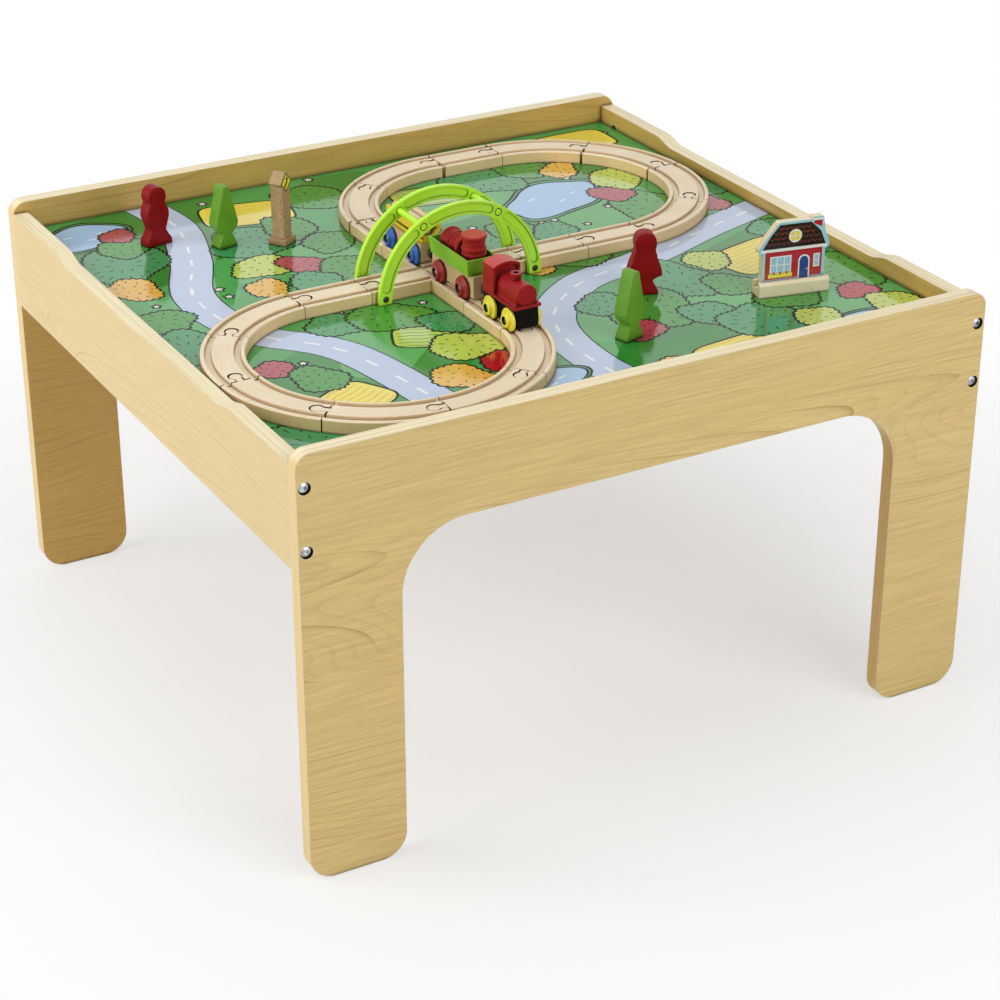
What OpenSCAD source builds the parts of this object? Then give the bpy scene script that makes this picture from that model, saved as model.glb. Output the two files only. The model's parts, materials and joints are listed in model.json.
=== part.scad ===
// Wooden play table with a figure-eight railway, a train, a bridge and small toys.
// Millimetres, +Z up, origin on the floor under the middle of the table.
// +X runs to the right along the front panel and +Y runs to the back.

/* [Table] */
// Width of the table along its front
table_w = 700; // [690:5:900]
// Depth over both panels
table_d = 668; // [640:4:900]
// Height of the panels
table_h = 413; // [390:1:520]
// Thickness of the panels and the rails
panel_t = 15; // [13:0.5:17]
// Width of a leg
leg_w = 94; // [70:1:120]
// Height of a panel above its arch
apron_h = 91.5; // [80:0.5:110]
// Radius of the arch's upper corners
arch_r = 62; // [30:1:80]
// Radius of a panel's top corners
top_corner_r = 14; // [6:1:18]
// Radius of the corners of a foot
foot_corner_r = 24; // [8:1:30]

/* [Rails] */
// Height of a side rail at its ends
rail_h = 98.5; // [88:0.5:110]
// Drop from the panels' top edge to the ends of a rail
rail_drop = 11; // [6:0.5:14]
// Depth of the lowered part of a rail's top edge
dip_depth = 6; // [3:0.5:9]
// Distance from a rail's end to the start of the lowered part
dip_inset = 113; // [60:1:160]
// Length of the curved step into the lowered part
dip_run = 31; // [20:1:50]

/* [Play board] */
// Thickness of the play board
board_t = 4; // [3:0.5:6]
// Drop from the panels' top edge to the play surface
board_drop = 29; // [25:0.5:34]
// Gap around the edge of the play board
board_gap = 0.4; // [0.2:0.1:1]
// Width and height of the cleats under the board
cleat_size = 18; // [14:1:22]
// Width of the brace under the board
brace_w = 60; // [40:1:90]
// Thickness of the brace under the board
brace_t = 15; // [9:1:18]

/* [Fasteners] */
// Diameter of a corner bolt's shank
bolt_d = 6; // [5:0.5:7]
// Diameter of a corner bolt's head
bolt_head_d = 9.6; // [8.5:0.1:10.4]
// Height of a corner bolt's head
bolt_head_h = 3.2; // [2.6:0.1:3.4]
// Rise of the dome on a bolt's head
bolt_dome = 1.2; // [0.6:0.1:1.6]
// Width across the corners of the key recess in a bolt's head
bolt_key_w = 4.4; // [3:0.1:5]
// Depth of the key recess in a bolt's head
bolt_key_depth = 1.8; // [1:0.1:2]
// Diameter of the sunk hole around a bolt's head
bolt_sink_d = 11.5; // [10.8:0.1:13]
// Depth of the sunk hole around a bolt's head
bolt_sink = 3.6; // [3.5:0.1:5]
// Drop from the panels' top edge to the upper bolts
bolt_drop = 30.5; // [26:0.5:36]
// Distance between the upper and lower bolts
bolt_pitch = 58.5; // [45:0.5:62]
// Length of a bolt beyond the middle of its nut
bolt_tip = 8; // [6:0.5:12]
// Diameter of a barrel nut
nut_d = 10; // [9:0.5:12]
// Length of a barrel nut
nut_len = 11; // [8:0.5:11.5]
// Distance from a rail's end to the middle of a nut
nut_inset = 28; // [20:1:40]
// Diameter of a cleat screw
screw_d = 3.5; // [3:0.1:4]
// Length of a cleat screw
screw_len = 27; // [24:0.5:28]
// Diameter of a cleat screw's head
screw_head_d = 7; // [6:0.1:8]
// Height of a cleat screw's head
screw_head_h = 2.4; // [1.6:0.1:3]
// Number of screws in a side cleat
side_screws = 5; // [2:1:8]
// Number of screws in an end cleat
end_screws = 4; // [2:1:8]

/* [Track] */
// Width of the track
track_w = 40; // [38:0.5:43]
// Thickness of the track
track_h = 12; // [10:0.5:13]
// Distance between the middles of the two grooves
groove_gauge = 26; // [25:0.5:26.5]
// Width of a groove
groove_w = 6.5; // [6.2:0.1:7]
// Depth of a groove
groove_depth = 3; // [2.4:0.1:3.6]
// Chamfer along the track's top edges
track_chamfer = 1; // [0.4:0.1:1.6]
// Length of the short straights
straight_len = 70; // [60:1:76]
// Turn at the loose joints that closes the loops, in degrees
joint_kink = 5; // [4:0.25:5]
// Gap at a joint
joint_gap = 0.6; // [0.4:0.1:1.2]
// Gap between the left rail and the front loop
track_margin = 2.8; // [2:0.2:8]
// Gap between the right rail and the back loop
track_far_margin = 15.7; // [6:0.1:40]
// Least gap between the loops and the front and back panels
track_end_margin = 8; // [4:0.5:12]
// Place of the crossing's middle along the depth
cross_y = -4.5; // [-10:0.5:10]
// Distance from a joint to the middle of a peg's head
peg_reach = 11; // [9:0.5:13]
// Diameter of a peg's head
peg_head_d = 11; // [9:0.5:12]
// Width of a peg's neck
peg_neck_w = 6; // [5:0.5:7]
// Drop of a peg's top below the track's top
peg_drop = 0.6; // [0.3:0.1:2]
// Play around a peg in its socket
socket_play = 1.3; // [1.2:0.1:1.8]

/* [Train] */
// Radius of a wheel
wheel_r = 11.2; // [10.4:0.1:11.8]
// Width of a wheel
wheel_w = 3.5; // [3:0.1:3.8]
// Rounding of a wheel's edges
wheel_edge = 0.9; // [0.4:0.1:1.3]
// Gap between a wheel and the floor of its groove
wheel_gap = 0.2; // [0.1:0.1:0.6]
// Diameter of the raised ring on a wheel's face
wheel_hub_d = 13.4; // [12.6:0.2:14.2]
// Height of the raised ring on a wheel's face
wheel_hub = 3.2; // [2.4:0.1:3.8]
// Radius of the flare at the foot of that ring
wheel_flare = 1.8; // [1:0.1:2.2]
// Diameter of the hollow in that ring
wheel_eye_d = 8.2; // [7:0.2:9.2]
// Depth of the hollow in that ring
wheel_eye = 2.2; // [1.6:0.1:3]
// Diameter of an axle
axle_d = 3; // [2.4:0.1:3.6]
// Diameter of an axle's end cap
axle_cap_d = 5; // [4.2:0.2:6]
// Height of an axle's end cap
axle_cap_h = 1; // [0.6:0.1:1.6]
// Width of every chassis
chassis_w = 21.5; // [19:0.1:21.8]
// Gap between the track's top and a chassis
chassis_gap = 2.6; // [2:0.1:4]
// Distance by which the front axle stands past the front loop's last joint
axle_past_joint = 1.5; // [0:0.25:2]
// Distance between two chassis
coupling_span = 24; // [20:0.5:28]
// Height of the couplings' axis above the chassis' underside
coupling_rise = 9.5; // [7:0.5:11]
// Diameter of a coupling cup
coupling_d = 12; // [9:0.5:13]
// Length of a coupling cup
cup_len = 5.5; // [4:0.5:7]
// Diameter of a coupling's neck
neck_d = 5; // [4:0.5:6]
// Diameter of the peg that holds a coupling in its chassis
shank_d = 4; // [3:0.25:4.75]
// Length of the peg that holds a coupling in its chassis
shank_len = 8; // [5:0.5:10]
// Diameter of a coupling's magnet
magnet_d = 8; // [6:0.5:8.5]
// Height by which a magnet stands out of its cup
magnet_h = 0.8; // [0.4:0.1:1.2]
// Gap between two facing magnets
magnet_gap = 0.6; // [0.4:0.1:1]

/* [Locomotive] */
// Length of the locomotive's chassis
loco_len = 58; // [52:1:66]
// Distance between the locomotive's axles
loco_base = 33.5; // [28:0.5:36]
// Height of the locomotive's chassis
loco_chassis_h = 18.5; // [16:0.5:21]
// Width of the footplate and the cab
cab_w = 28; // [25:0.5:29]
// Thickness of the footplate
plate_t = 2.7; // [1.8:0.1:4]
// Length of the cab
cab_len = 20; // [16:0.5:24]
// Height of the cab's side walls above the footplate
cab_wall_h = 25.5; // [20:0.5:26]
// Rise of the cab's arched roof
roof_rise = 4; // [3:0.2:6]
// Width of the rim around the cab's front
cab_rim = 2.6; // [1.6:0.2:3.4]
// Depth of the hollow behind that rim
cab_hollow = 2.2; // [1:0.2:4]
// Diameter of the boiler
boiler_d = 21.4; // [19:0.2:22]
// Height of the boiler's axis above the footplate
boiler_rise = 8.6; // [7:0.2:10]
// Distance from the footplate's front to the boiler's front
boiler_set = 1.6; // [0.6:0.1:4]
// Rounding of the boiler's front edge
boiler_edge = 1.4; // [0.6:0.1:2.4]
// Radius of the flare from the boiler's sides onto the footplate
boiler_flare = 2.4; // [1.2:0.1:2.6]
// Diameter of the chimney
chimney_d = 11.4; // [10:0.2:13]
// Diameter of the chimney's waist
chimney_waist_d = 9.8; // [8:0.2:10]
// Height of the chimney above the boiler
chimney_h = 5.4; // [4.2:0.2:8]
// Height of the chimney's rim
chimney_rim = 2.6; // [1.6:0.2:3.2]
// Diameter of the hollow in the chimney's top
chimney_bore_d = 5; // [3:0.2:6]
// Depth of the hollow in the chimney's top
chimney_bore = 1.4; // [0.8:0.2:2.4]
// Distance from the boiler's front to the middle of the chimney
chimney_set = 20; // [14:0.5:24]
// Diameter of the peg under the chimney
chimney_peg_d = 5; // [3:0.2:6]
// Length of the peg under the chimney, below the boiler's top
chimney_peg = 5; // [3:0.5:7]

/* [Barrel wagon] */
// Length of the barrel wagon's chassis
barrel_wagon_len = 80; // [76:1:86]
// Distance between the barrel wagon's axles
barrel_wagon_base = 45.5; // [40:0.5:52]
// Height of the barrel wagon's chassis
barrel_chassis_h = 21.2; // [18:0.2:23]
// Length of the tray along its rim
tray_len = 76; // [74:1:80]
// Width of the tray along its rim
tray_w = 32; // [31:0.5:36]
// Height of the tray
tray_h = 16; // [13:0.5:18]
// Distance by which the tray's sides lean out
tray_flare = 1.75; // [1:0.25:2]
// Thickness of the tray's walls
tray_wall = 1.8; // [1.6:0.1:2]
// Thickness of the tray's floor
tray_floor = 3; // [2:0.5:3.5]
// Diameter of a barrel
barrel_d = 24.6; // [20:0.2:24.8]
// Length of a barrel
barrel_len = 32; // [26:0.2:32.2]
// Gap under and between the barrels
barrel_gap = 0.8; // [0.3:0.1:1.2]
// Place of the standing barrel ahead of the tray's middle
standing_x = 21.8; // [21.4:0.1:22.2]

/* [Log wagon] */
// Length of the log wagon's chassis
log_wagon_len = 70; // [66:1:76]
// Distance between the log wagon's axles
log_wagon_base = 49; // [42:0.5:52]
// Height of the log wagon's chassis
log_chassis_h = 18; // [16:0.5:20]
// Diameter of a log
log_d = 9; // [8:0.1:9.4]
// Length of a log
log_len = 56; // [50:1:66]
// Length of the cradle
cradle_len = 68; // [60:1:70]
// Thickness of the cradle's walls
cradle_wall = 2.6; // [1.8:0.2:3.4]
// Height of the cradle's foot under its trough
cradle_foot = 3.2; // [2:0.2:5]
// Width of the cradle's foot
cradle_foot_w = 17; // [12:0.5:20]
// Height of the cradle's rim above its trough's axis
cradle_rim = 3.6; // [0:0.2:3.6]

/* [Bridge] */
// Outer radius of an arch
bridge_r = 87; // [85:0.5:92]
// Width of an arch's band
bridge_band = 13; // [11:0.5:13.5]
// Thickness of an arch
bridge_t = 5; // [4:0.5:7]
// Gap between an arch and the side of the crossing
bridge_gap = 2; // [1:0.25:4]
// Place of the bridge's middle to the right of the crossing
bridge_shift = 8.5; // [4:0.5:10]
// Depth of the sunk fields in an arch's faces
bridge_sink = 1.2; // [0.5:0.1:1.5]
// Width of the border around the sunk fields
bridge_border = 2.2; // [1.6:0.1:3]
// Diameter of the cross rods
rod_d = 6; // [5:0.25:7]
// Width of the ring sunk around the end of a rod
rod_ring = 0.9; // [0.4:0.1:1.2]
// Angle from the ground to a rod, in degrees
rod_angle = 60.5; // [58:0.5:63]
// Diameter of the foot pins
pin_d = 4; // [3:0.25:4.5]
// Diameter of a foot pin's head
pin_head_d = 6.4; // [5.2:0.2:7]
// Height of a foot pin's head
pin_head_h = 1.4; // [0.8:0.1:2]
// Height of the foot pins above the play surface
pin_h = 5.4; // [4.5:0.1:7]

/* [Figures and trees] */
// Thickness of the figures and trees
toy_t = 14.5; // [11:0.5:17]
// Height of the first figure
man_h = 60; // [50:1:70]
// Width of the first figure
man_w = 28; // [24:1:34]
// Place of the first figure, in from the left and back edges of the board
man_inset = [96, 99]; // [30:1:300]
// Turn of the first figure, in degrees
man_turn = 9; // [-30:1:30]
// Height of the second figure
woman_h = 61.5; // [50:0.5:70]
// Width of the second figure
woman_w = 32; // [28:1:38]
// Place of the second figure from the middle of the crossing
woman_offset = [154.5, -117.5]; // [-280:0.5:280]
// Turn of the second figure, in degrees
woman_turn = -20; // [-40:1:20]
// Height of the back tree
back_tree_h = 63; // [52:1:74]
// Width of the back tree
back_tree_w = 25; // [22:0.5:30]
// Place of the back tree, in from the left and back edges of the board
back_tree_inset = [152, 138]; // [30:1:300]
// Turn of the back tree, in degrees
back_tree_turn = 11; // [-30:1:30]
// Height of the front tree
front_tree_h = 66; // [54:1:76]
// Width of the front tree
front_tree_w = 26.5; // [22:0.5:32]
// Place of the front tree from the middle of the crossing
front_tree_offset = [85.5, -202.5]; // [-280:0.5:280]
// Turn of the front tree, in degrees
front_tree_turn = 17; // [-30:1:40]

/* [Road sign] */
// Width of the sign's foot
sign_foot_w = 20; // [17:0.5:24]
// Height of the sign's foot
sign_foot_h = 6.5; // [4:0.5:9]
// Width of the sign's post
sign_post_w = 14; // [11:0.5:15]
// Width of the sign's head along an edge
sign_head_w = 15; // [13:0.5:17]
// Height of the sign
sign_h = 74.5; // [66:0.5:80]
// Place of the sign, in from the left and back edges of the board
sign_inset = [205, 158]; // [30:1:300]
// Turn of the sign, in degrees
sign_turn = 34; // [0:1:60]

/* [House] */
// Length of the house's base
house_base_len = 71; // [68:1:80]
// Depth of the house's base
house_base_d = 19; // [16:0.5:24]
// Height of the house's base
house_base_h = 14; // [11:0.5:17]
// Chamfer along the top edges of the house's base
house_chamfer = 2.4; // [1:0.2:3]
// Width of the house over its eaves
house_w = 72; // [66:1:80]
// Height of the house above the play surface
house_h = 74; // [66:1:84]
// Thickness of the house board
house_t = 8; // [6:0.5:9]
// Depth of the slot that the house board stands in
slot_depth = 6; // [4:0.5:8]
// Place of the house, in from the right and front edges of the board
house_inset = [100, 131]; // [30:1:300]
// Turn of the house, in degrees
house_turn = -11.8; // [-20:0.2:20]

/* [Fits] */
// Gap around pins, axles and bolts in their holes
fit_gap = 0.05; // [0.02:0.01:0.1]
// Overrun of every cut beyond the faces that it opens
overrun = 1; // [0.5:0.1:2]

/* [Hidden] */
$fn = 64;

// Table: faces and levels
inner_w = table_w - 2 * panel_t;
inner_d = table_d - 2 * panel_t;
board_z = table_h - board_drop;
cleat_z = board_z - board_t - cleat_size;
rail_top = table_h - rail_drop;
rail_x = (table_w - panel_t) / 2;
dip_steps = 16;
bolt_levels = [table_h - bolt_drop, table_h - bolt_drop - bolt_pitch];
end_cleat_len = inner_d - 2 * cleat_size - 2 * board_gap;

// Track: headings in degrees, lengths along the middle of the track
curve_turn = 45;
back_kink = 2 * joint_kink / 3;
half_track = track_w / 2;
small_kink = joint_kink - back_kink;
arm_share = 2 * sin(joint_kink) + cos(small_kink) + (sqrt(2) - 1) * sin(small_kink);
reach_share = arm_share + 1 - sin(joint_kink);
loops_w = min(
    inner_w - straight_len - track_margin - track_far_margin,
    inner_d - 2 * (track_end_margin + abs(cross_y))
);
curve_r = (loops_w - track_w) / (2 * reach_share);
arm_len = curve_r * arm_share;
loop_reach = curve_r * reach_share + half_track;
cross_x = track_margin + loop_reach - inner_w / 2;
cross_half = arm_len - straight_len;
groove_edge = groove_gauge / 2 - groove_w / 2;

// Each row of a run is one piece: whether it is curved, and the turn at its first joint
front_run = [
    [false, 0], [true, joint_kink], [true, 0], [true, -back_kink],
    [true, -back_kink], [true, -back_kink], [true, 0], [false, joint_kink]
];
back_run = [
    [false, 0], [false, 0], [true, joint_kink], [true, 0], [true, -back_kink], [true, -back_kink],
    [false, 2 * back_kink - joint_kink], [true, -joint_kink], [true, 0], [false, joint_kink]
];
front_poses = run_poses(front_run, 0, [cross_x - cross_half, cross_y, 180]);
back_poses = run_poses(back_run, 0, [cross_x + cross_half, cross_y, 0]);

// Train: heights above the play surface, places along the straight arm
wheel_h = track_h - groove_depth + wheel_gap + wheel_r;
chassis_h = track_h + chassis_gap;
coupling_h = chassis_h + coupling_rise;
coupling_len = (coupling_span - magnet_gap) / 2;
loco_y = cross_y - arm_len - axle_past_joint + loco_base / 2;
barrel_wagon_y = loco_y + loco_len / 2 + coupling_span + barrel_wagon_len / 2;
log_wagon_y = barrel_wagon_y + barrel_wagon_len / 2 + coupling_span + log_wagon_len / 2;
plate_h = chassis_h + loco_chassis_h;
plate_top = plate_h + plate_t;
boiler_h = plate_top + boiler_rise;
boiler_front = loco_len / 2 - boiler_set;
chimney_x = boiler_front - chimney_set;
tray_z = chassis_h + barrel_chassis_h;
tray_foot_len = tray_len - 2 * tray_flare;
tray_foot_w = tray_w - 2 * tray_flare;
lying_x = standing_x - barrel_d / 2 - barrel_gap - barrel_len / 2;
lying_lift = fit_gap;
log_bed = log_d + 1.5 * fit_gap;
log_h = chassis_h + log_chassis_h + cradle_foot + cradle_wall + log_bed;
log_low = log_d / 2 + fit_gap - log_bed;
log_side = (log_d + fit_gap) / 2;
log_high = log_low + sqrt(pow(log_d + fit_gap, 2) - pow(log_side, 2));
flare_steps = 5;

// Bridge
bridge_x = cross_x + bridge_shift;
bridge_mid_r = bridge_r - bridge_band / 2;
bridge_field = bridge_band / 2 - bridge_border;
bridge_front_y = cross_y - half_track - bridge_gap - bridge_t;
bridge_back_y = cross_y + half_track + bridge_gap;
field_margin = rod_d / 2 + rod_ring + bridge_border + bridge_field;
field_turn = asin(field_margin / bridge_mid_r);
foot_turn = asin((pin_h + pin_head_d / 2 + bridge_border + bridge_field) / bridge_mid_r);
pin_x = sqrt(pow(bridge_mid_r, 2) - pow(pin_h, 2));
field_steps = 24;
cap_steps = 8;

// Outlines as shares of half a width and of a height, from the ground up
outline_steps = 5;
man_shares = [
    [1, 0], [1, 0.045], [0.94, 0.1], [0.68, 0.2], [0.57, 0.27], [0.72, 0.38], [0.86, 0.5],
    [0.82, 0.6], [0.64, 0.7], [0.6, 0.735], [0.67, 0.78], [0.7, 0.84], [0.62, 0.92],
    [0.36, 0.982], [0, 1]
];
woman_shares = [
    [0.78, 0], [0.78, 0.035], [0.72, 0.09], [0.5, 0.18], [0.46, 0.23], [0.68, 0.27], [0.96, 0.3],
    [1, 0.335], [0.93, 0.43], [0.79, 0.54], [0.7, 0.59], [0.68, 0.64], [0.6, 0.695],
    [0.58, 0.735], [0.63, 0.79], [0.63, 0.86], [0.52, 0.94], [0.3, 0.985], [0, 1]
];
tree_shares = [
    [0.86, 0], [0.86, 0.045], [0.42, 0.22], [0.9, 0.32], [0.99, 0.37], [1, 0.41],
    [0.68, 0.67], [0.36, 0.91], [0.31, 0.97], [0.22, 1]
];
house_wall_share = 0.88;
house_right_shares = [
    [0.88, 0.5], [0.98, 0.53], [1, 0.57], [0.98, 0.62], [0.86, 0.79], [0.81, 0.97], [0.78, 1]
];
house_left_shares = [
    [0.5, 1], [0.46, 0.965], [-0.42, 0.965], [-0.48, 0.95], [-0.7, 0.8],
    [-0.98, 0.6], [-1, 0.57], [-0.98, 0.53], [-0.88, 0.5]
];
barrel_shares = [
    [0, 0], [0.94, 0], [1, 0.03], [1, 0.08], [0.91, 0.14], [0.87, 0.22], [0.86, 0.32], [0.87, 0.37],
    [0.96, 0.39], [0.96, 0.44], [0.88, 0.46], [0.88, 0.54], [0.96, 0.56], [0.96, 0.61], [0.87, 0.63],
    [0.86, 0.68], [0.87, 0.78], [0.91, 0.86], [1, 0.92], [1, 0.97], [0.94, 1], [0, 1]
];
slot_bottom = house_base_h - slot_depth;
sign_head_h = sign_h - sign_head_w / sqrt(2);

// Colours
board_wood = "burlywood";
beech = "wheat";
leaf_green = "olivedrab";
lime = "yellowgreen";
deep_red = "firebrick";

// The pose [x, y, heading] at the end of a piece that starts at pose p
function after(p, curved) = curved
    ? [
        p[0] + curve_r * (sin(p[2] + curve_turn) - sin(p[2])),
        p[1] + curve_r * (cos(p[2]) - cos(p[2] + curve_turn)),
        p[2] + curve_turn
    ]
    : [p[0] + straight_len * cos(p[2]), p[1] + straight_len * sin(p[2]), p[2]];

// The starting poses of all pieces of a run from piece i on
function run_poses(run, i, p) = i == len(run)
    ? []
    : let (start = [p[0], p[1], p[2] + run[i][1]])
        concat([start], run_poses(run, i + 1, after(start, run[i][0])));

// The length to take off a piece's end so that it clears its neighbour's turned end
function end_trim(turn) = joint_gap / 2 + half_track * tan(abs(turn) / 2);

// The turn at the last joint of piece i of a run
function next_turn(run, i) = i + 1 < len(run) ? run[i + 1][1] : 0;

// A smooth line through the points p, with n steps between two points
function smooth(p, n) = concat(
    [
        for (i = [0 : len(p) - 2])
            for (j = [0 : n - 1])
                let (t = j / n, a = p[max(i - 1, 0)], b = p[i], c = p[i + 1], d = p[min(i + 2, len(p) - 1)])
                    (2 * b + (c - a) * t + (2 * a - 5 * b + 4 * c - d) * t * t
                        + (3 * b - a - 3 * c + d) * t * t * t) / 2
    ],
    [p[len(p) - 1]]
);

// Points given as shares, at a half width and a height
function sized(shares, half_w, h) = [for (s = shares) [s[0] * half_w, s[1] * h]];

// The same points mirrored to the other side, in reverse order
function mirrored(p) = [for (i = [len(p) - 1 : -1 : 0]) [-p[i][0], p[i][1]]];

// The waste outside a rounded corner at the origin, with the sheet in the first quadrant
module corner_waste(r) {
    difference() {
        translate([-overrun, -overrun])
            square(r + overrun);
        translate([r, r])
            circle(r);
    }
}

// Cylinder along +Y
module along_y(d, len) {
    rotate([-90, 0, 0])
        cylinder(d = d, h = len);
}

// Cylinder along +X
module along_x(d, len) {
    rotate([0, 90, 0])
        cylinder(d = d, h = len);
}

// Children at the four bolts of the front panel, with +Y into the table
module at_front_bolts() {
    for (side = [-1, 1])
        for (level = bolt_levels)
            translate([side * rail_x, -table_d / 2, level])
                children();
}

// Children at the bolts of both panels
module at_bolts() {
    at_front_bolts()
        children();
    mirror([0, 1, 0])
        at_front_bolts()
            children();
}

module bolt_hole() {
    translate([0, -overrun, 0])
        along_y(bolt_d + 2 * fit_gap, panel_t + nut_inset + bolt_tip + fit_gap + overrun);
    translate([0, -overrun, 0])
        along_y(bolt_sink_d, bolt_sink + overrun);
}

module nut_hole() {
    translate([-panel_t / 2 - overrun, panel_t + nut_inset, 0])
        along_x(nut_d + 2 * fit_gap, panel_t / 2 + nut_len / 2 + fit_gap + overrun);
}

module bolt() {
    dome_r = (pow(bolt_head_d / 2, 2) + pow(bolt_dome, 2)) / (2 * bolt_dome);
    difference() {
        union() {
            translate([0, bolt_sink, 0])
                along_y(bolt_d, panel_t - bolt_sink + nut_inset + bolt_tip);
            intersection() {
                translate([0, bolt_sink - bolt_head_h, 0])
                    along_y(bolt_head_d, bolt_head_h);
                translate([0, bolt_sink - bolt_head_h + dome_r, 0])
                    sphere(dome_r);
            }
        }
        translate([0, bolt_sink - bolt_head_h - overrun, 0])
            rotate([-90, 0, 0])
                cylinder(d = bolt_key_w, h = bolt_key_depth + overrun, $fn = 6);
    }
}

module nut() {
    difference() {
        translate([-nut_len / 2, panel_t + nut_inset, 0])
            along_x(nut_d, nut_len);
        translate([0, panel_t, 0])
            along_y(bolt_d + 2 * fit_gap, 2 * nut_inset);
    }
}

// A panel seen from the front, with its knee space and rounded corners
module panel_outline() {
    arch_w = table_w - 2 * leg_w;
    arch_h = table_h - apron_h;
    difference() {
        translate([-table_w / 2, 0])
            square([table_w, table_h]);
        difference() {
            translate([-arch_w / 2, -overrun])
                square([arch_w, arch_h + overrun]);
            for (side = [0, 1])
                mirror([side, 0])
                    translate([arch_w / 2, arch_h])
                        rotate(180)
                            corner_waste(arch_r);
        }
        for (side = [0, 1])
            mirror([side, 0]) {
                translate([table_w / 2, table_h])
                    rotate(180)
                        corner_waste(top_corner_r);
                translate([-table_w / 2, 0])
                    corner_waste(foot_corner_r);
                translate([-arch_w / 2, 0])
                    mirror([1, 0])
                        corner_waste(foot_corner_r);
            }
    }
}

// The front panel without the marks of the pieces that it carries
module panel() {
    difference() {
        translate([0, panel_t - table_d / 2, 0])
            rotate([90, 0, 0])
                linear_extrude(panel_t)
                    panel_outline();
        at_front_bolts()
            bolt_hole();
        at_side_screws()
            screw_hole();
    }
}

// Top edge of a rail from its front end to its back end
function rail_edge() = let (half = inner_d / 2) concat(
    [[-half, rail_top]],
    [
        for (i = [0 : dip_steps])
            [-half + dip_inset + dip_run * i / dip_steps, dip_level(i / dip_steps)]
    ],
    [
        for (i = [dip_steps : -1 : 0])
            [half - dip_inset - dip_run * i / dip_steps, dip_level(i / dip_steps)]
    ],
    [[half, rail_top]]
);

// Height of a rail's top edge at a share of the way down the step
function dip_level(share) = rail_top - dip_depth * (1 - cos(180 * share)) / 2;

// The right rail
module rail() {
    bottom = rail_top - rail_h;
    difference() {
        translate([inner_w / 2, 0, 0])
            rotate([90, 0, 90])
                linear_extrude(panel_t)
                    polygon(concat(rail_edge(), [[inner_d / 2, bottom], [-inner_d / 2, bottom]]));
        at_bolts() {
            bolt_hole();
            nut_hole();
        }
        at_end_screws()
            screw_hole();
    }
}

// Children at the screws of the front cleat, with +Y from the panel into the cleat
module at_side_screws() {
    for (i = [0 : side_screws - 1])
        translate([
            inner_w * ((i + 0.5) / side_screws - 0.5),
            -inner_d / 2,
            cleat_z + cleat_size / 2
        ])
            children();
}

// Children at the screws of the right end cleat, with +Y from the rail into the cleat
module at_end_screws() {
    for (i = [0 : end_screws - 1])
        translate([
            inner_w / 2,
            end_cleat_len * ((i + 0.5) / end_screws - 0.5),
            cleat_z + cleat_size / 2
        ])
            rotate(90)
                children();
}

module screw_hole() {
    translate([0, cleat_size - screw_len - fit_gap, 0])
        along_y(screw_d + 2 * fit_gap, screw_len + fit_gap + overrun);
}

module screw() {
    translate([0, cleat_size - screw_len, 0])
        along_y(screw_d, screw_len);
    translate([0, cleat_size, 0])
        along_y(screw_head_d, screw_head_h);
}

module front_panel() {
    color(board_wood)
        panel();
}

module back_panel() {
    color(board_wood)
        mirror([0, 1, 0])
            panel();
}

module left_rail() {
    color(board_wood)
        mirror([1, 0, 0])
            rail();
}

module right_rail() {
    color(board_wood)
        rail();
}

module play_board() {
    board_w = inner_w - 2 * board_gap;
    board_d = inner_d - 2 * board_gap;
    color("seagreen")
        translate([-board_w / 2, -board_d / 2, board_z - board_t])
            cube([board_w, board_d, board_t]);
}

module side_cleats() {
    color(board_wood)
        for (side = [0, 1])
            mirror([0, side, 0])
                difference() {
                    translate([board_gap - inner_w / 2, -inner_d / 2, cleat_z])
                        cube([inner_w - 2 * board_gap, cleat_size, cleat_size]);
                    at_side_screws()
                        screw_hole();
                }
}

module end_cleats() {
    color(board_wood)
        for (side = [0, 1])
            mirror([side, 0, 0])
                difference() {
                    translate([inner_w / 2 - cleat_size, -end_cleat_len / 2, cleat_z])
                        cube([cleat_size, end_cleat_len, cleat_size]);
                    at_end_screws()
                        screw_hole();
                }
}

module centre_brace() {
    brace_len = inner_w - 2 * cleat_size;
    color(board_wood)
        translate([-brace_len / 2, -brace_w / 2, board_z - board_t - brace_t])
            cube([brace_len, brace_w, brace_t]);
}

module corner_bolts() {
    color("silver")
        at_bolts()
            bolt();
}

module barrel_nuts() {
    color("darkgray")
        at_bolts()
            nut();
}

module cleat_screws() {
    color("gray")
        for (side = [0, 1]) {
            mirror([0, side, 0])
                at_side_screws()
                    screw();
            mirror([side, 0, 0])
                at_end_screws()
                    screw();
        }
}

// Cross-section of the track, standing on the play surface
module track_section() {
    flat = half_track - track_chamfer;
    difference() {
        polygon([
            [-half_track, 0], [half_track, 0], [half_track, track_h - track_chamfer], [flat, track_h],
            [-flat, track_h], [-half_track, track_h - track_chamfer]
        ]);
        for (side = [0, 1])
            mirror([side, 0])
                translate([groove_edge, track_h - groove_depth])
                    square([groove_w, groove_depth + overrun]);
    }
}

// A straight bar of track from x = 0
module track_bar(len) {
    rotate([90, 0, 90])
        linear_extrude(len)
            track_section();
}

// A peg that points along +X past a joint at the origin
module track_peg() {
    linear_extrude(track_h - peg_drop) {
        translate([-peg_reach, -peg_neck_w / 2])
            square([2 * peg_reach, peg_neck_w]);
        translate([peg_reach, 0])
            circle(d = peg_head_d);
    }
}

// The socket for a peg that comes along +X past a joint at the origin
module track_socket() {
    slot_w = peg_neck_w + 2 * socket_play;
    translate([0, 0, -overrun])
        linear_extrude(track_h + 2 * overrun) {
            translate([-overrun, -slot_w / 2])
                square([peg_reach + overrun, slot_w]);
            translate([peg_reach, 0])
                circle(d = peg_head_d + 2 * socket_play);
        }
}

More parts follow.
